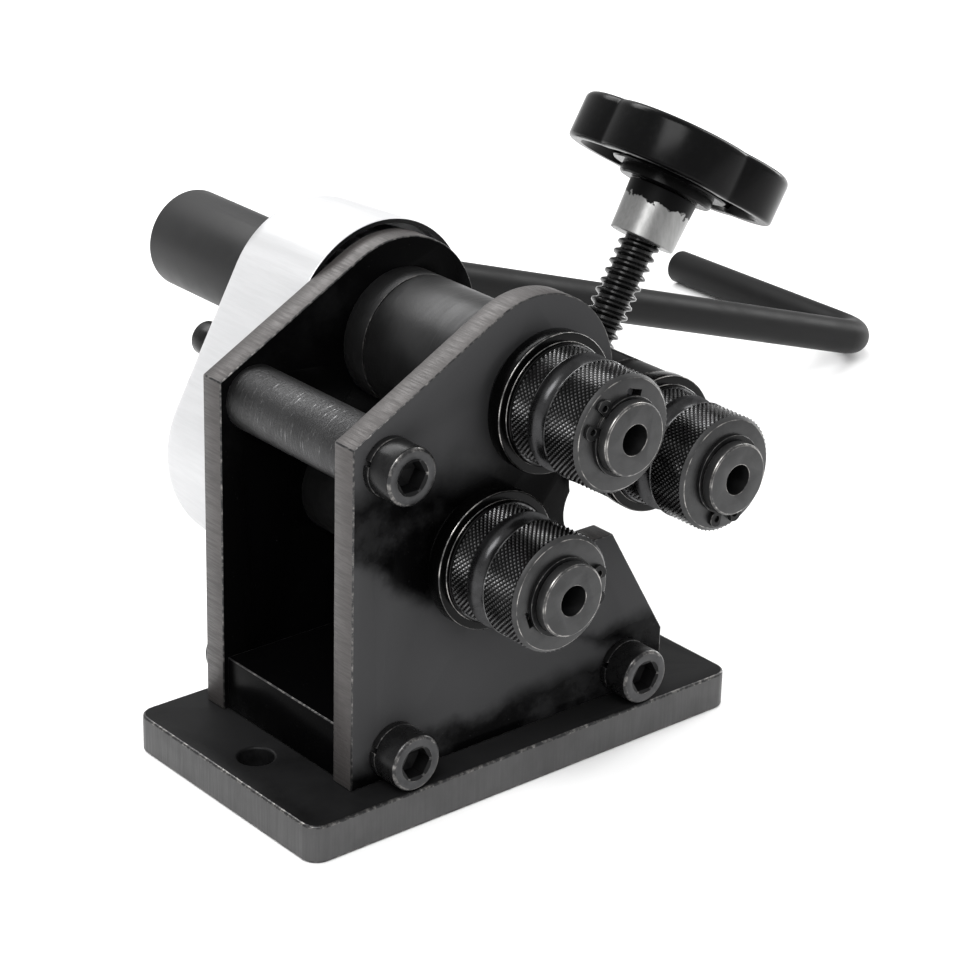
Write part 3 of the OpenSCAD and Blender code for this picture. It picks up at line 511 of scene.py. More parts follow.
def crank_black():
    return matt_black("crank_black", colours().crank, 0.15)


# A darker copy of the crank's black, as painted shade.
def rod_black_painted_shade():
    return matt_black("rod_black_painted_shade", colours().rod, 0.08)


def plain_dark(name):
    """A plain dark metal whose gloss varies a little."""
    value, gloss, metallic = PLAIN_DARKS[name]
    return mottled(name, {"Metallic": metallic, "Specular IOR Level": 0.2},
                   (260.0, 0.5, 0.2), value, tinted(value, 1.5), gloss)


def roll_finish(name, centre):
    """Dark roll steel, its knurl's tips rubbed brighter than its grooves."""
    tones = colours()
    made, tree, shader = finish(name, {"Metallic": 0.9})
    turned = turning(tree, centre, 2500.0)
    tips = math_of(tree, "MULTIPLY",
                   smooth_step(tree, turned["Radius"], 15.95 * MM, 16.3 * MM),
                   smooth_step(tree, turned["Radius"], 16.4 * MM, 16.7 * MM, 1.0, 0.0))
    worn = math_of(tree, "MULTIPLY", tips, patches(tree, 160.0, 0.55, 0.2))
    base = blend(tree, worn, tinted(tones.roll, 0.5), tinted(tones.face, 3.4))
    rough = smooth_step(tree, patches(tree, 110.0, 0.5, 0.25), 0.0, 1.0, 0.16, 0.26)
    feed(tree, shader, base=base, rough=rough)
    return made


def face_finish(name, centre):
    """Turned faces of rolls and shafts: satin grey, finely ringed and flecked."""
    tones = colours()
    made, tree, shader = finish(name, {"Metallic": 0.7})
    turned = turning(tree, centre, 3600.0)
    stain = patches(tree, 240.0, 0.45, 0.2)
    flecks = patches(tree, 2200.0, 0.30, 0.03)
    base = blend(tree, stain, tones.face, tinted(tones.face, 0.72))
    base = blend(tree, flecks, base, tinted(tones.face, 1.7))
    rough = smooth_step(tree, turned["Marks"], 0.3, 0.7, 0.36, 0.46)
    feed(tree, shader, base=base, rough=rough,
         normal=bump(tree, turned["Marks"], 0.000006))
    return made


def cover_metal():
    """Bare light metal with fine lines and a few dark scratches along it, and a painted
    reflection: a soft dark band over its round and faint dark bands along it."""
    tones = colours()
    made, tree, shader = finish("cover_metal", {"Metallic": 0.35})
    drawn = lines(tree, (900.0, 14.0, 900.0))
    reflection_bands = lines(tree, (46.0, 2.0, 46.0))
    scored = lines(tree, (620.0, 16.0, 620.0))
    stain = patches(tree, 45.0, 0.45, 0.25)
    where = patches(tree, 60.0, 0.34, 0.05)
    base = blend(tree, drawn["Lines"], tinted(tones.cover, 0.94), tones.cover)
    # Painted reflection: faint dark bands along the cover.
    base = blend(tree, reflection_bands["Strong"], base, tinted(tones.cover, 0.62))
    # Painted reflection: a soft dark band along the cover's upper round, at a set turn around the
    # top axis.
    turn = math.radians(132.0)
    out, across = (math.cos(turn), 0.0, math.sin(turn)), (-math.sin(turn), 0.0, math.cos(turn))
    shift = vector_of(tree, "SUBTRACT", object_point(tree), tuple(TOP))[0]
    aside = vector_of(tree, "DOT_PRODUCT", shift, across)["Value"]
    ahead = vector_of(tree, "DOT_PRODUCT", shift, out)["Value"]
    band = smooth_step(tree, math_of(tree, "ABSOLUTE", aside), 1.0 * MM, 5.0 * MM, 0.55, 0.0)
    band = math_of(tree, "MULTIPLY", band, smooth_step(tree, ahead, 15.0 * MM, 22.0 * MM))
    base = blend(tree, band, base, tinted(tones.cover, 0.62))
    score = math_of(tree, "MULTIPLY", scored["Strong"], where)
    base = blend(tree, score, base, tinted(tones.cover, 0.42))
    rough = smooth_step(tree, stain, 0.0, 1.0, 0.42, 0.52)
    feed(tree, shader, base=base, rough=rough,
         normal=bump(tree, drawn["Lines"], 0.00001))
    return made


def plated_insert():
    """The insert: plated below, black above a ragged line across the screw's axis."""
    tones = colours()
    made, tree, shader = finish("plated_insert", {})
    along = vector_of(tree, "DOT_PRODUCT", object_point(tree), tuple(SCREW_UP))["Value"]
    height = math_of(tree, "SUBTRACT", along, SCREW_FOOT.dot(SCREW_UP))
    ragged = add(tree, "ShaderNodeTexNoise", inputs={
        "Vector": object_point(tree), "Scale": 330.0, "Detail": 5.0, "Roughness": 0.6})
    wander = smooth_step(tree, ragged.outputs["Fac"], 0.25, 0.75, -1.3 * MM, 1.3 * MM)
    height = math_of(tree, "ADD", height, wander)
    black = smooth_step(tree, height, 62.6 * MM, 62.9 * MM)
    scratches = lines(tree, (900.0, 900.0, 120.0))
    zinc = blend(tree, scratches["Lines"], tinted(tones.zinc, 0.82), tones.zinc)
    base = blend(tree, black, zinc, tinted(tones.blackened_light, 0.12))
    metal = smooth_step(tree, black, 0.0, 1.0, 0.85, 0.9)
    rough = smooth_step(tree, black, 0.0, 1.0, 0.32, 0.5)
    feed(tree, shader, base=base, rough=rough, metal=metal,
         normal=bump(tree, black, 0.0002))
    return made


PLAIN_DARKS = {
    "clip_black": ((0.006, 0.006, 0.0062), (0.30, 0.42), 0.4),
    "screw_black": ((0.010, 0.010, 0.0102), (0.24, 0.34), 0.5),
    "screw_face": ((0.045, 0.045, 0.046), (0.34, 0.46), 0.7),
    # Painted shade: near-black put in bores, sockets, holes and the cover's rim face, where shade
    # falls.
    "painted_shade_black": ((0.004, 0.004, 0.0042), (0.40, 0.55), 0.3),
    "groove_steel": ((0.034, 0.034, 0.035), (0.24, 0.32), 0.9),
}
FINISHES = {build.__name__: build for build in (
    blackened_steel, base_black, front_black, cut_rim, worn_edge, rubbed_edge, base_side,
    turned_tube, brushed_bar, cover_metal, crank_black, rod_black_painted_shade, knob_plastic,
    plated_insert, oiled_thread, bare_steel)}


def use(name):
    """The named finish, made the first time that it is asked for."""
    made = bpy.data.materials.get(name)
    if made:
        return made
    for place, centre in CENTRES.items():
        if name == f"{place}_roll_steel":
            return roll_finish(name, tuple(centre))
        if name == f"{place}_face_steel":
            return face_finish(name, tuple(centre))
    return plain_dark(name) if name in PLAIN_DARKS else FINISHES[name]()


def dress(piece, names, choose=None):
    """Gives a piece its finishes; choose(face) tells which of them a face takes."""
    piece.data.materials.clear()
    for name in names:
        piece.data.materials.append(use(name))
    for face in piece.data.polygons:
        face.material_index = choose(face) if choose else 0


# ---------------------------------------------------------------- shaping tools


def pick(*pieces):
    """Selects only these pieces, the first one active."""
    bpy.ops.object.select_all(action="DESELECT")
    for piece in pieces:
        piece.select_set(True)
    bpy.context.view_layer.objects.active = pieces[0]


def edit(action):
    """Runs a few edit-mode steps on the active piece."""
    bpy.ops.object.mode_set(mode="EDIT")
    bpy.ops.mesh.select_all(action="SELECT")
    action()
    bpy.ops.object.mode_set(mode="OBJECT")


def soften(piece, degrees=32.0):
    """Shades a piece smooth but for its sharper edges."""
    pick(piece)
    bpy.ops.object.shade_smooth_by_angle(angle=math.radians(degrees))


def round_edges(piece, width, segments=2, degrees=35.0, slot=-1):
    """Rounds the edges of a piece, and may give the rounded faces their own finish."""
    pick(piece)
    bevel = piece.modifiers.new("rounding", "BEVEL")
    bevel.width = width
    bevel.segments = segments
    bevel.limit_method = "ANGLE"
    bevel.angle_limit = math.radians(degrees)
    bevel.use_clamp_overlap = False
    bevel.material = slot
    bpy.ops.object.modifier_apply(modifier=bevel.name)


def drawn_out(name, rings, closed=False):
    """Extrudes a ring of points from outline to outline. Both ends are filled, or, when it is
    closed, the last outline is joined to the first."""
    count = len(rings[0])
    bpy.ops.object.select_all(action="DESELECT")
    bpy.ops.mesh.primitive_circle_add(vertices=count, radius=1.0, fill_type="NOTHING")
    piece = bpy.context.object
    piece.name = name
    piece.data.name = name
    bpy.ops.object.mode_set(mode="EDIT")
    mesh = bmesh.from_edit_mesh(piece.data)
    mesh.verts.ensure_lookup_table()
    place = {}
    for k, index in enumerate(ring_order(mesh)):
        place[index] = k
        mesh.verts[index].co = rings[0][k]
    for outline in rings[1:] + rings[:1] * closed:
        bpy.ops.mesh.extrude_edges_move()
        mesh = bmesh.from_edit_mesh(piece.data)
        mesh.verts.index_update()
        fresh = [vert for vert in mesh.verts if vert.select]
        place = {
            vert.index: place[edge.other_vert(vert).index]
            for vert in fresh for edge in vert.link_edges
            if not edge.other_vert(vert).select
        }
        for vert in fresh:
            vert.co = outline[place[vert.index]]
    bmesh.update_edit_mesh(piece.data)
    if not closed:
        bpy.ops.mesh.edge_face_add()
        bpy.ops.mesh.select_all(action="DESELECT")
        bpy.ops.mesh.select_mode(type="VERT")
        bpy.ops.mesh.select_non_manifold()
        bpy.ops.mesh.edge_face_add()
    bpy.ops.mesh.select_all(action="SELECT")
    bpy.ops.mesh.remove_doubles(threshold=MERGE_GAP)
    bpy.ops.mesh.normals_make_consistent(inside=False)
    bpy.ops.object.mode_set(mode="OBJECT")
    return piece


def ring_order(mesh):
    """Indices of the circle's points in their order around it."""
    first = mesh.verts[0]
    walk = [first.index]
    before, here = first, first.link_edges[0].other_vert(first)
    while here.index != first.index:
        walk.append(here.index)
        onward = [edge.other_vert(here) for edge in here.link_edges]
        before, here = here, next(v for v in onward if v.index != before.index)
    return walk


def ring(centre, radius, y, count):
    """Points of a circle around a Y axis."""
    return [
        Vector((centre.x + radius * math.cos(turn), y, centre.z + radius * math.sin(turn)))
        for turn in (math.tau * k / count for k in range(count))
    ]


def turned(name, centre, outline, closed=False):
    """A piece turned around a Y axis; outline holds (radius, y) pairs. A closed outline, which
    comes back to where it began, leaves a bore."""
    count = bpy.context.scene.roller_sizes.ring_segments
    rings = [ring(centre, radius, y, count) for radius, y in outline]
    return drawn_out(name, rings, closed)


def arc(middle, radius, first, last, steps):
    """Points of an arc in an outline, from one angle to another in degrees."""
    turns = [math.radians(first + (last - first) * k / steps) for k in range(steps + 1)]
    return [(middle[0] + radius * math.cos(turn), middle[1] + radius * math.sin(turn))
            for turn in turns]


def quarter_turns(steps, first=1):
    """The angles from first to last step of a quarter of a turn."""
    return [math.radians(90.0 * k / steps) for k in range(first, steps + 1)]


def copied(node, name):
    """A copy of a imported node, merged and with its flat faces made whole."""
    pick(NODES[node])
    bpy.ops.object.duplicate()
    piece = bpy.context.object
    piece.parent = None
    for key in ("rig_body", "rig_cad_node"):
        if key in piece:
            del piece[key]
    piece.name = name
    piece.data.name = name

    def whole_faces():
        bpy.ops.mesh.remove_doubles(threshold=MERGE_GAP)
        bpy.ops.mesh.dissolve_limited(angle_limit=math.radians(0.4))

    edit(whole_faces)
    return piece


def joined(name, pieces):
    """Several shells as one piece."""
    pick(*pieces)
    if len(pieces) > 1:
        bpy.ops.object.join()
    piece = bpy.context.object
    piece.name = name
    piece.data.name = name
    return piece


def box(size, place, turn=0.0):
    """A box of this size about this place, turned around a Y axis."""
    bpy.ops.object.select_all(action="DESELECT")
    bpy.ops.mesh.primitive_cube_add(size=1.0)
    made = bpy.context.object
    made.scale, made.location, made.rotation_euler = size, place, (0.0, turn, 0.0)
    bpy.ops.object.transform_apply(location=True, rotation=True, scale=True)
    return made


def cut(piece, tool):
    """Takes one shell out of another."""
    pick(piece)
    slice_off = piece.modifiers.new("cut", "BOOLEAN")
    slice_off.operation = "DIFFERENCE"
    slice_off.solver = "EXACT"
    slice_off.object = tool
    bpy.ops.object.modifier_apply(modifier=slice_off.name)
    bpy.data.objects.remove(tool)


def settle(piece, node):
    """Puts a finished piece in a node's stead, on that node's body."""
    pick(piece)
    bpy.ops.object.transform_apply(location=True, rotation=True, scale=True)
    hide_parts(node)
    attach(piece, BODIES[node])


def show_rounded(node, names, width, choose=None, slot=1, segments=2):
    """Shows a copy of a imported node, with rounded edges, in its stead."""
    piece = copied(node, f"{node}_shown")
    dress(piece, names, choose)
    round_edges(piece, width, segments, slot=slot)
    soften(piece)
    settle(piece, node)


def keep(node, name, smooth=False):
    """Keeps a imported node, whose points stay where they are, and gives it a finish."""
    dress(NODES[node], [name])
    if smooth:
        soften(NODES[node], SMOOTH_BELOW)


# ---------------------------------------------------------------- operators


class PieceOperator(bpy.types.Operator):
    """Common ground of the operators: each one makes its pieces and finishes."""

    bl_idname = "ring_roller.piece"
    bl_label = "Piece"
    bl_options = {"REGISTER", "UNDO"}

    def execute(self, context):
        self.make(context.scene.roller_sizes)
        return {"FINISHED"}


class RING_ROLLER_OT_stage(PieceOperator):
    """Make the pale floor, the soft lights and the camera"""

    bl_idname = "ring_roller.stage"
    bl_label = "Studio"

    def make(self, sizes):
        tones = colours()
        bpy.ops.object.select_all(action="DESELECT")
        bpy.ops.mesh.primitive_plane_add(size=12.0, location=(0.0, 0.0, -FLOOR_DROP))
        floor = bpy.context.object
        floor.name = "studio_floor"
        pale, tree, shader = finish("studio_pale", {"Roughness": 0.6})
        base = blend(tree, patches(tree, 2.0, 0.5, 0.4), tones.floor,
                     tinted(tones.floor, 0.985))
        feed(tree, shader, base=base)
        floor.data.materials.append(pale)
        self.light("key_softbox", (-0.75, -0.55, 1.15), 0.8, 0.8, 17.0)
        self.light("front_fill", (0.35, -1.3, 0.65), 0.8, 0.6, 4.0)
        self.light("right_strip", (1.2, 0.1, 0.6), 0.3, 1.1, 8.0)
        self.light("back_top", (0.1, 1.0, 1.2), 1.2, 0.5, 14.0)
        bpy.data.objects["front_fill"].visible_glossy = False
        world = bpy.data.worlds.new("studio_air")
        world.use_nodes = True
        world.node_tree.nodes["Background"].inputs["Color"].default_value = (1, 1, 1, 1)
        world.node_tree.nodes["Background"].inputs["Strength"].default_value = 0.75
        bpy.context.scene.world = world
        bpy.context.scene.view_settings.view_transform = "Standard"
        bpy.ops.object.camera_add(
            location=CAMERA_PLACE, rotation=tuple(math.radians(v) for v in CAMERA_TURN))
        camera = bpy.context.object
        camera.name = "photo_camera"
        camera.data.sensor_width = 36.0
        camera.data.lens = CAMERA_LENS
        camera.data.clip_end = 50.0
        bpy.context.scene.camera = camera

    def light(self, name, place, width, height, power):
        bpy.ops.object.light_add(type="AREA", location=place)
        lamp = bpy.context.object
        lamp.name = name
        lamp.data.shape = "RECTANGLE"
        lamp.data.size = width
        lamp.data.size_y = height
        lamp.data.energy = power
        aim = LIGHTS_AIM - Vector(place)
        lamp.rotation_euler = aim.to_track_quat("-Z", "Y").to_euler()


class RING_ROLLER_OT_plates(PieceOperator):
    """Make the base, the two side plates and the blocks between them"""

    bl_idname = "ring_roller.plates"
    bl_label = "Base and Side Plates"

    def make(self, sizes):
        for node in ("front_plate", "rear_plate"):
            outer = "front_black" if node == "front_plate" else "blackened_steel"
            show_rounded(
                node, ["blackened_steel", "cut_rim", "worn_edge", outer], sizes.edge_round,
                lambda face: 1 if abs(face.normal.y) < 0.5 else 3 if face.normal.y < 0 else 0,
                slot=2)
        low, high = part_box("base_plate")
        side_band = 4.0 * MM

        def inside(face):
            spot = face.center
            return min(spot.x - low.x, high.x - spot.x, spot.y - low.y, high.y - spot.y)

        def choose(face):
            if abs(face.normal.z) > 0.5:
                return 0
            # Upright faces away from the sides, the holes' walls, take the painted shade.
            return 1 if inside(face) < side_band else 3

        piece = copied("base_plate", "base_plate_shown")
        dress(piece, ["base_black", "base_side", "worn_edge", "painted_shade_black"], choose)
        round_edges(piece, 2 * sizes.edge_round, segments=3, slot=2)
        for face in piece.data.polygons:
            # Rounded faces inside the holes take the painted shade too.
            if face.material_index == 2 and inside(face) > side_band:
                face.material_index = 3
        soften(piece)
        settle(piece, "base_plate")
        for node in ("bottom_block", "anvil_block"):
            show_rounded(node, ["blackened_steel", "worn_edge"], sizes.edge_round)


class RING_ROLLER_OT_bars(PieceOperator):
    """Make the corner bar, the collars and the tubes between the plates"""

    bl_idname = "ring_roller.bars"
    bl_label = "Bars and Tubes"

    def make(self, sizes):
        finishes = {
            "corner_spacer": "brushed_bar", "rear_collar": "turned_tube",
            "lower_spacer_tube": "turned_tube", "pivot_sleeve": "bare_steel",
        }
        for node, name in finishes.items():
            show_rounded(node, [name, "worn_edge"], sizes.fine_round)
        for node in ("top_bushes", "lower_bushes", "idle_bush"):
            keep(node, "screw_black", smooth=True)


class RING_ROLLER_OT_arm(PieceOperator):
    """Make the swing arm"""

    bl_idname = "ring_roller.arm"
    bl_label = "Swing Arm"

    def make(self, sizes):
        show_rounded("swing_arm", ["turned_tube", "worn_edge"], sizes.edge_round)


class RING_ROLLER_OT_rolls(PieceOperator):
    """Make the three knurled rolls with their wire grooves"""

    bl_idname = "ring_roller.rolls"
    bl_label = "Rolls"

    def make(self, sizes):
        for place, centre in CENTRES.items():
            self.roll(sizes, place, centre)

    def roll(self, sizes, place, centre):
        node = f"{place}_roll"
        low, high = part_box(node)
        back, front = high.y, low.y
        crest, fillet = 16.3 * MM, 0.5 * MM
        under = crest - sizes.knurl_depth - 0.15 * MM
        flange, step, fine = 19.5 * MM, 17.0 * MM, sizes.fine_round
        flange_y, step_y = back - 4.7 * MM, back - 6.0 * MM
        groove_back, groove_front = step_y - 6.4 * MM, step_y - 12.4 * MM
        rim_y = front + 1.0 * MM
        outline = [(BORE_R, back), (flange - fillet, back)]
        outline += arc((flange - fillet, back - fillet), fillet, 90, 0, 3)
        outline += arc((flange - fillet, flange_y + fillet), fillet, 0, -90, 3)
        outline += [(step + 0.15 * MM, flange_y)]
        outline += [(step, flange_y - 0.15 * MM), (step, step_y + fine)]
        outline += [(step - fine, step_y), (under, step_y), (under, groove_back + 0.3 * MM)]
        outline += [(crest - fine, groove_back + 0.3 * MM), (crest, groove_back + 0.1 * MM)]
        outline += arc((crest, (groove_back + groove_front) / 2), 3.0 * MM, 90, 270, 16)
        outline += [(crest, groove_front - 0.1 * MM), (crest - fine, groove_front - 0.3 * MM)]
        outline += [(under, groove_front - 0.3 * MM), (under, rim_y)]
        outline += [(crest - 0.25 * MM, rim_y), (crest - 1.05 * MM, front + 0.12 * MM)]
        outline += [(crest - 1.25 * MM, front), (BORE_R + fine, front),
                    (BORE_R, front + fine)]
        body = turned(f"{node}_shown", centre, outline, closed=True)
        self.keyway(body, place, centre, front, back)
        rounds = [
            self.knurl(sizes, f"{node}_knurl_{k}", centre, crest, span)
            for k, span in enumerate((
                (step_y, groove_back + 0.25 * MM), (groove_front - 0.25 * MM, rim_y)))
        ]
        names = [f"{place}_roll_steel", f"{place}_face_steel", "groove_steel", "rubbed_edge",
                 "painted_shade_black"]
        knurled, flat, groove, edge, dark = range(len(names))

        def choose(face):
            spot = face.center - centre
            radius = math.hypot(spot.x, spot.z)
            # The bore, the back face and the keyway's sides take the painted shade.
            if radius < BORE_R + 0.05 * MM or face.center.y > back - 0.1 * MM:
                return dark
            if abs(face.normal.y) < 0.5 and radius < 12.6 * MM:
                return dark
            if face.center.y < front + 0.05 * MM:
                return flat
            if face.center.y < rim_y - 0.01 * MM:
                return edge if face.center.y < front + 0.1 * MM else flat
            if groove_front < face.center.y < groove_back:
                return groove
            if flange - 0.22 * MM < radius < flange - 0.08 * MM:
                return edge
            if step - 0.1 * MM < radius < step + 0.12 * MM and abs(face.normal.y) > 0.3:
                return edge
            return knurled

        dress(body, names, choose)
        soften(body)
        for band in rounds:
            dress(band, names)
        piece = joined(body.name, [body] + rounds)
        settle(piece, node)

    def keyway(self, body, place, centre, front, back):
        """Cuts the key's slot through the roll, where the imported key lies."""
        low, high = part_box(f"{place}_roll_key")
        middle = (low + high) / 2 - centre
        turn = math.atan2(middle.z, middle.x)
        deep, wide, reach = 7.0 * MM, 5.04 * MM, 12.22 * MM
        out = reach - deep / 2
        cut(body, box((deep, back - front + 4 * MM, wide),
                      (centre.x + out * math.cos(turn), (front + back) / 2,
                       centre.z + out * math.sin(turn)), -turn))

    def knurl(self, sizes, name, centre, crest, span):
        """A sleeve of small pyramids: tips and hollows take turns around and along it, and
        every square is folded between its two hollows, so that the grooves cross."""
        count = 2 * sizes.knurls
        pitch = math.tau * crest / count
        rows = max(4, round((span[0] - span[1]) / pitch))
        hollow = crest - sizes.knurl_depth
        rings = [ring(centre, crest - 2 * sizes.knurl_depth, span[0], count)]
        for row in range(rows + 1):
            y = span[0] + (span[1] - span[0]) * row / rows
            tips, hollows = ring(centre, crest, y, count), ring(centre, hollow, y, count)
            rings.append([
                tips[k] if (k + row) % 2 == 0 else hollows[k] for k in range(count)])
        rings.append(ring(centre, crest - 2 * sizes.knurl_depth, span[1], count))
        band = drawn_out(name, rings, closed=True)
        pick(band)
        edit(lambda: bpy.ops.mesh.quads_convert_to_tris(quad_method="SHORTEST_DIAGONAL"))
        return band


class RING_ROLLER_OT_shafts(PieceOperator):
    """Make the shafts, their retaining rings and keys, and the hidden gears"""

    bl_idname = "ring_roller.shafts"
    bl_label = "Shafts and Gears"

    def make(self, sizes):
        for place, centre in CENTRES.items():
            node = f"{place}_shaft"

            def choose(face):
                spot = face.center - centre
                # The centre hole takes the painted shade.
                hole = math.hypot(spot.x, spot.z) < 4.3 * MM and abs(face.normal.y) < 0.9
                return 1 if hole else 0

            show_rounded(node, [f"{place}_face_steel", "painted_shade_black", "rubbed_edge"],
                         sizes.fine_round, choose, slot=2)
        for place in CENTRES:
            show_rounded(f"{place}_circlip", ["clip_black", "worn_edge"], 0.1 * MM, segments=1)
            keep(f"{place}_roll_key", "bare_steel")
        for gear in ("drive_gear", "driven_gear"):
            keep(f"{gear}_circlip", "clip_black")
            keep(f"{gear}_key", "bare_steel")
            keep(gear, "bare_steel", smooth=True)
        keep("shaft_keeper_screw", "screw_black", smooth=True)


class RING_ROLLER_OT_screws(PieceOperator):
    """Make the cap screws, their split washers and the base's countersunk screws"""

    bl_idname = "ring_roller.screws"
    bl_label = "Screws and Washers"
    head_r = 8.0 * MM

    def make(self, sizes):
        for side, facing in (("front", -1.0), ("rear", 1.0)):
            node = f"{side}_cap_screws"
            heads = []
            for centre in self.places()[0 if facing < 0 else 1:]:
                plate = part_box(f"{side}_plate")[0 if facing < 0 else 1].y
                heads.append(self.cap_screw(centre, plate, facing))
            piece = joined(f"{node}_shown", heads)
            settle(piece, node)
            show_rounded(f"{side}_lock_washers", ["screw_black", "worn_edge"], sizes.fine_round)
        keep("base_screws", "screw_black", smooth=True)

    def places(self):
        """The cap screws' axes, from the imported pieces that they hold."""
        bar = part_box("corner_spacer")
        corner = (bar[0] + bar[1]) / 2
        row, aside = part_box("front_cap_screws")[0].z + self.head_r, 41.0 * MM
        return [corner, Vector((-aside, 0, row)), Vector((aside, 0, row))]

    def cap_screw(self, centre, plate, facing):
        """One socket head cap screw, turned with its hexagon pressed in."""
        count = 72
        head, shank, washer, tall = self.head_r, 5.0 * MM, 2.2 * MM, 8.0 * MM
        mouth, flats = 5.0 * MM, 8.0 * MM

        def at(outward):
            return plate + facing * outward

        face = washer / MM + tall / MM
        steps = [(shank - 0.6 * MM, -25.0), (shank, -24.4), (shank, 2.2), (head - 0.3 * MM, 2.2),
                 (head, 2.5), (head, face - 0.95),
                 (head - 0.12 * MM, face - 0.6), (head - 0.45 * MM, face - 0.2),
                  (head - 0.95 * MM, face), (mouth + 0.1 * MM, face), (mouth, face - 0.06)]
        rings = [ring(centre, radius, at(out * MM), count) for radius, out in steps]
        for out in (face - 0.45, face - 5.0):
            rings.append(self.hexagon(centre, flats, at(out * MM), count))
        rings.append(ring(centre, 0.6 * MM, at((face - 6.2) * MM), count))
        piece = drawn_out("cap_screw", rings)

        def choose(polygon):
            spot = polygon.center - centre
            radius = math.hypot(spot.x, spot.z)
            out = facing * (polygon.center.y - plate) / MM
            # The hexagon socket takes the painted shade.
            if radius < 4.75 * MM and out > 2.5:
                return 2
            if out > face - 0.01:
                return 1
            if out > face - 0.5:
                return 3
            return 0

        dress(piece, ["screw_black", "screw_face", "painted_shade_black", "worn_edge"], choose)
        soften(piece, 40.0)
        return piece

    def hexagon(self, centre, flats, y, count):
        """Points of a hexagon that lie at even turns, so that they meet a circle's."""
        points = []
        for k in range(count):
            turn = math.tau * k / count
            within = (turn % (math.tau / 6)) - math.tau / 12
            radius = flats / 2 / math.cos(within)
            points.append(Vector((centre.x + radius * math.cos(turn), y,
                                  centre.z + radius * math.sin(turn))))
        return points


class RING_ROLLER_OT_cover(PieceOperator):
    """Make the hollow gear cover and its screws"""

    bl_idname = "ring_roller.cover"
    bl_label = "Gear Cover"

    def make(self, sizes):
        rim_y, back_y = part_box("gear_cover")[0].y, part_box("gear_cover")[1].y
        wall, draft, rounding = 3.6 * MM, 1.8 * MM, sizes.cover_round
        bend_y = back_y - rounding
        mouth, lip, bevel, roof, hub, ease = (v * MM for v in (1.5, 5.0, 0.25, 4.0, 15.3, 0.5))
        count = 240
        insets = [
            (wall + 0.7 * MM, back_y - roof), (wall, back_y - 2 * roof),
            (wall, rim_y + lip + 2.0 * MM), (mouth, rim_y + lip), (mouth, rim_y),
            (bevel, rim_y), (0.0, rim_y + bevel)]
        insets += [(draft * share, rim_y + (bend_y - rim_y) * share) for share in (0.33, 0.66)]
        insets += [(draft + (rounding - draft) * (1 - math.cos(turn)),
                    bend_y + rounding * math.sin(turn)) for turn in quarter_turns(8, 0)]
        rings = [self.outline(inset, y, count) for inset, y in insets]
        rings += [ring(TOP, radius, y, count) for radius, y in (
            (hub + ease, back_y), (hub, back_y - ease), (hub, back_y - roof))]
        cover = drawn_out("gear_cover_shown", rings, closed=True)

        def choose(face):
            # The rim face against the plate takes the painted shade.
            return 1 if face.center.y < rim_y + 0.1 * MM and abs(face.normal.y) > 0.7 else 0

        dress(cover, ["cover_metal", "painted_shade_black"], choose)
        soften(cover, SMOOTH_BELOW)
        settle(cover, "gear_cover")
        show_rounded("cover_screws", ["screw_black", "worn_edge"], sizes.fine_round)

    def outline(self, inset, y, count):
        """The cover's outline at even turns around the top axis: where each ray leaves the
        circles that lead from the upper end's to the lower end's."""
        span = LOW - TOP
        radii = (COVER_TOP_R - inset, COVER_LOW_R - inset)
        points = []
        for k in range(count):
            turn = math.tau * k / count
            ray = Vector((math.cos(turn), 0, math.sin(turn)))
            ahead = ray.x * span.x + ray.z * span.z
            aside = ray.x * span.z - ray.z * span.x
            out = 0.0
            for share in (step / 48 for step in range(49)):
                radius = radii[0] + (radii[1] - radii[0]) * share
                half = radius ** 2 - (aside * share) ** 2
                if half >= 0:
                    out = max(out, ahead * share + math.sqrt(half))
            points.append(Vector((TOP.x + ray.x * out, y, TOP.z + ray.z * out)))
        return points


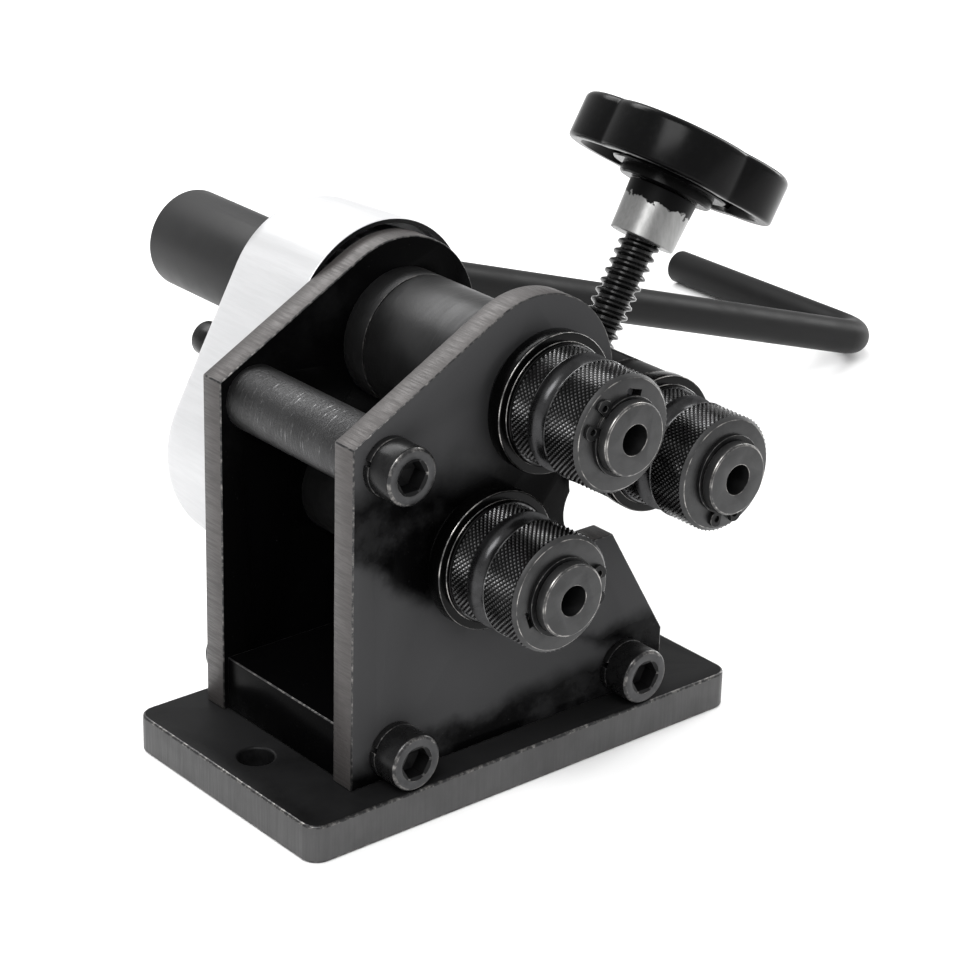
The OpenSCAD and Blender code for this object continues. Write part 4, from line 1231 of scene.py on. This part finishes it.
class RING_ROLLER_OT_crank(PieceOperator):
    """Make the crank's hub, its bent rod and its pins"""

    bl_idname = "ring_roller.crank"
    bl_label = "Crank"

    def make(self, sizes):
        show_rounded("crank_hub", ["crank_black", "worn_edge"], 0.5 * MM, slot=0, segments=3)
        self.rod()
        for node in ("crank_shaft_pin", "crank_rod_pin"):
            keep(node, "screw_face", smooth=True)

    def rod(self):
        """The bent rod: rings of points carried along its middle line."""
        radius, edge, tail, grip, hub_end = (v * MM for v in (6.5, 0.9, 9.0, 106.0, 8.8))
        low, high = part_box("crank_rod")
        start_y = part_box("crank_hub")[1].y - hub_end
        end = Vector((high.x - radius, 0.0, low.z + radius))
        drop = math.asin((TOP.z - end.z) / CRANK_REACH)
        ahead = Vector((math.cos(drop), 0.0, -math.sin(drop)))
        start = Vector((TOP.x, start_y, TOP.z))
        splay = math.atan2(CRANK_SPLAY, CRANK_REACH)
        arm = ahead * math.cos(splay) + UP_Y * math.sin(splay)
        corner = start + arm * math.hypot(CRANK_REACH, CRANK_SPLAY)
        bend = math.pi / 2 - splay
        cut_back = CRANK_BEND * math.tan(bend / 2)
        inner = (UP_Y - arm * arm.dot(UP_Y)).normalized()
        heart = corner - arm * cut_back + inner * CRANK_BEND
        tip = corner + UP_Y * grip
        path = [(start - arm * tail, arm, radius - edge)]
        path += [(start - arm * (tail - edge), arm, radius)]
        for k in range(13):
            turn = bend * k / 12
            spot = heart + (arm * math.sin(turn) - inner * math.cos(turn)) * CRANK_BEND
            path.append((spot, arm * math.cos(turn) + inner * math.sin(turn), radius))
        path += [(tip - UP_Y * edge, UP_Y, radius)]
        path += [(tip - UP_Y * 0.3 * edge, UP_Y, radius - 0.3 * edge)]
        path += [(tip, UP_Y, radius - edge)]
        across = arm.cross(inner)
        rings = []
        for spot, onward, wide in path:
            side = across.cross(onward)
            rings.append([
                spot + (across * math.cos(turn) + side * math.sin(turn)) * wide
                for turn in (math.tau * k / 64 for k in range(64))])
        piece = drawn_out("crank_rod_shown", rings)
        dress(piece, ["rod_black_painted_shade"])
        soften(piece, 40.0)
        settle(piece, "crank_rod")


def on_screw(points):
    """Moves points drawn around +Z, with zero at the screw's foot, onto the screw's line."""
    turn = Vector((0, 0, 1)).rotation_difference(SCREW_UP).to_matrix()
    return [turn @ point + SCREW_FOOT for point in points]


def level(radius, z, count, wave=None):
    """A ring of points around +Z; wave(turn) may change the radius."""
    points = []
    for k in range(count):
        turn = math.tau * k / count
        out = radius + (wave(turn) if wave else 0.0)
        points.append(Vector((out * math.cos(turn), out * math.sin(turn), z)))
    return points


def screw_rings(profile, count):
    """Rings around the screw's line; profile holds (radius, height) pairs."""
    return [on_screw(level(radius, z, count)) for radius, z in profile]


def lay_on_screw(piece, turn=0.0):
    """Turns a piece drawn around +Z, and lays it on the screw's line."""
    spin = Matrix.Rotation(turn, 3, "Z")
    for vert in piece.data.vertices:
        vert.co = on_screw([spin @ vert.co])[0]


class RING_ROLLER_OT_jack_screw(PieceOperator):
    """Make the jack screw with its helical thread, and its thrust pad"""

    bl_idname = "ring_roller.jack_screw"
    bl_label = "Jack Screw"

    def make(self, sizes):
        start, stop = -27.2 * MM, 52.4 * MM
        crest = 6.0 * MM
        root = crest - sizes.thread_depth
        core = drawn_out("jack_screw_core", screw_rings((
            (2.6 * MM, start - 3.5 * MM), (3.0 * MM, start - 3.1 * MM), (3.0 * MM, start),
            (root - 0.5 * MM, start), (root, start + 0.5 * MM), (root, stop + 20 * MM)), 64))
        thread = self.thread(sizes, start + 1.0 * MM, stop + 2.0 * MM, root, crest)
        for shell in (core, thread):
            dress(shell, ["oiled_thread"])
            soften(shell, SMOOTH_BELOW)
        piece = joined("jack_screw_shown", [core, thread])
        settle(piece, "jack_screw")
        keep("thrust_pad", "bare_steel", smooth=True)

    def thread(self, sizes, low, high, root, crest):
        """A rounded ridge wound up the screw with the Screw modifier."""
        pitch = sizes.thread_pitch
        turns = int((high - low) / pitch)
        section = [(root - 0.3 * MM, -0.40), (root + 0.25 * MM, -0.33), (crest - 0.3 * MM, -0.17),
                   (crest - 0.05 * MM, -0.08), (crest - 0.05 * MM, 0.08),
                   (crest - 0.3 * MM, 0.17), (root + 0.25 * MM, 0.33), (root - 0.3 * MM, 0.40)]
        bpy.ops.object.select_all(action="DESELECT")
        bpy.ops.mesh.primitive_circle_add(vertices=len(section), radius=1.0)
        ridge = bpy.context.object
        bpy.ops.object.mode_set(mode="EDIT")
        mesh = bmesh.from_edit_mesh(ridge.data)
        mesh.verts.ensure_lookup_table()
        for index, (radius, share) in zip(ring_order(mesh), section):
            mesh.verts[index].co = Vector((radius, 0.0, low + share * pitch))
        bmesh.update_edit_mesh(ridge.data)
        bpy.ops.object.mode_set(mode="OBJECT")
        winding = ridge.modifiers.new("winding", "SCREW")
        winding.axis = "Z"
        winding.angle = math.tau
        winding.screw_offset = pitch
        winding.iterations = turns
        winding.steps = 48
        winding.render_steps = 48
        bpy.ops.object.modifier_apply(modifier=winding.name)

        def close_ends():
            bpy.ops.mesh.remove_doubles(threshold=MERGE_GAP / 2)
            bpy.ops.mesh.select_all(action="DESELECT")
            bpy.ops.mesh.select_non_manifold()
            bpy.ops.mesh.edge_face_add()
            bpy.ops.mesh.select_all(action="DESELECT")
            bpy.ops.mesh.select_non_manifold()
            bpy.ops.mesh.fill_holes(sides=0)
            bpy.ops.mesh.select_all(action="SELECT")
            bpy.ops.mesh.normals_make_consistent(inside=False)

        edit(close_ends)
        lay_on_screw(ridge)
        return ridge


class RING_ROLLER_OT_hand_knob(PieceOperator):
    """Make the lobed hand knob with its ribbed hollow, and its plated insert"""

    bl_idname = "ring_roller.hand_knob"
    bl_label = "Hand Knob"

    def make(self, sizes):
        count = 360
        lobes = sizes.knob_lobes
        rim, top = 70.6 * MM, 84.8 * MM
        out = 31.25 * MM

        def lobe(turn):
            """How far the rim draws in: the lobes are arcs that meet in narrow hollows."""
            half = math.pi / lobes
            aside = abs((turn - sizes.knob_turn) % (2 * half) - half)
            aside = half - math.hypot(half - aside, sizes.knob_crease)
            heart = out - sizes.knob_lobe_r
            reach = math.sqrt(sizes.knob_lobe_r ** 2 - (heart * math.sin(aside)) ** 2)
            return heart * math.cos(aside) + reach - out

        def outline(inset, z, share=1.0):
            return on_screw(level(out - inset, z, count, lambda turn: share * lobe(turn)))

        pocket, hub, roof, lip = (v * MM for v in (6.9, 14.0, 4.5, 0.6))
        low_round, top_round = 1.2 * MM, 2.3 * MM
        rings = screw_rings((
            (6.52 * MM, rim - 3.0 * MM), (hub - 0.5 * MM, rim - 3.0 * MM),
            (hub, rim - 2.5 * MM), (hub, rim + 0.2 * MM), (hub + 3.0 * MM, rim + 0.2 * MM),
            (hub + 3.4 * MM, rim + lip), (hub + 3.4 * MM, top - roof)), count)
        insets = [(pocket, top - roof), (4.4 * MM, rim + lip), (3.9 * MM, rim + 0.1 * MM),
                  (low_round, rim)]
        insets += [(low_round * (1 - math.sin(turn)), rim + low_round * (1 - math.cos(turn)))
                   for turn in quarter_turns(4)]
        insets += [(top_round * (1 - math.cos(turn)),
                    top - top_round * (1 - math.sin(turn))) for turn in quarter_turns(6, 0)]
        rings += [outline(inset, z) for inset, z in insets]
        rings.append(outline(8.0 * MM, top + 0.25 * MM, 0.8))
        rings += screw_rings(((14.0 * MM, top + 0.35 * MM), (1.0 * MM, top + 0.4 * MM)), count)
        knob = drawn_out("hand_knob_shown", rings)
        ribs = [
            self.rib(sizes.knob_turn + k * math.tau / lobes, hub - 0.5 * MM, out - 6.0 * MM,
                     rim + 1.0 * MM, top - 4.0 * MM)
            for k in range(lobes)]
        soften(knob, 35.0)
        for shell in (knob, *ribs):
            dress(shell, ["knob_plastic"])
        piece = joined("hand_knob_shown", [knob] + ribs)
        settle(piece, "hand_knob")
        self.insert(rim - 3.0 * MM)
        keep("knob_pin", "bare_steel")

    def rib(self, turn, near, far, low, high):
        """One radial rib in the knob's hollow."""
        thick = 2.2 * MM
        rib = box((far - near, thick, high - low), ((near + far) / 2, 0.0, (low + high) / 2))
        round_edges(rib, 0.4 * MM)
        lay_on_screw(rib, turn)
        soften(rib)
        return rib

    def insert(self, knob_low):
        """The plated insert, its skirt a little wider above."""
        neck, pin, skirt = 4.62 * MM, 6.5 * MM, 10.15 * MM
        low, high = 52.4 * MM, 76.4 * MM
        rings = screw_rings((
            (neck, low), (9.3 * MM, low), (9.6 * MM, low + 0.3 * MM),
            (9.75 * MM, low + 5.0 * MM), (skirt, knob_low - 1.0 * MM),
            (skirt, knob_low - 0.3 * MM), (pin, knob_low - 0.3 * MM),
            (pin, high), (neck, high)), 96)
        piece = drawn_out("knob_insert_shown", rings, closed=True)
        dress(piece, ["plated_insert"])
        soften(piece)
        settle(piece, "knob_insert")


OPERATORS = (
    RING_ROLLER_OT_stage, RING_ROLLER_OT_plates, RING_ROLLER_OT_bars, RING_ROLLER_OT_arm,
    RING_ROLLER_OT_rolls, RING_ROLLER_OT_shafts, RING_ROLLER_OT_screws,
    RING_ROLLER_OT_cover, RING_ROLLER_OT_crank, RING_ROLLER_OT_jack_screw,
    RING_ROLLER_OT_hand_knob,
)


class RING_ROLLER_PT_panel(bpy.types.Panel):
    """Lists the sizes, the colours and one button for each group of pieces"""

    bl_idname = "RING_ROLLER_PT_panel"
    bl_label = "Ring Roller"
    bl_space_type = "VIEW_3D"
    bl_region_type = "UI"
    bl_category = "Ring Roller"

    def draw(self, context):
        for group in (context.scene.roller_sizes, context.scene.roller_finishes):
            box = self.layout.box()
            for name in type(group).__annotations__:
                box.prop(group, name)
        for operator in OPERATORS:
            self.layout.operator(operator.bl_idname)


CLASSES = (RollerSizes, RollerFinishes, *OPERATORS, RING_ROLLER_PT_panel)


def register():
    for made in CLASSES:
        bpy.utils.register_class(made)
    bpy.types.Scene.roller_sizes = bpy.props.PointerProperty(type=RollerSizes)
    bpy.types.Scene.roller_finishes = bpy.props.PointerProperty(type=RollerFinishes)


def unregister():
    del bpy.types.Scene.roller_finishes
    del bpy.types.Scene.roller_sizes
    for made in reversed(CLASSES):
        bpy.utils.unregister_class(made)


def main():
    """Makes every piece in turn."""
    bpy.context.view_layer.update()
    register()
    for operator in OPERATORS:
        group, name = operator.bl_idname.split(".")
        getattr(getattr(bpy.ops, group), name)()


if __name__ == "__main__":
    main()
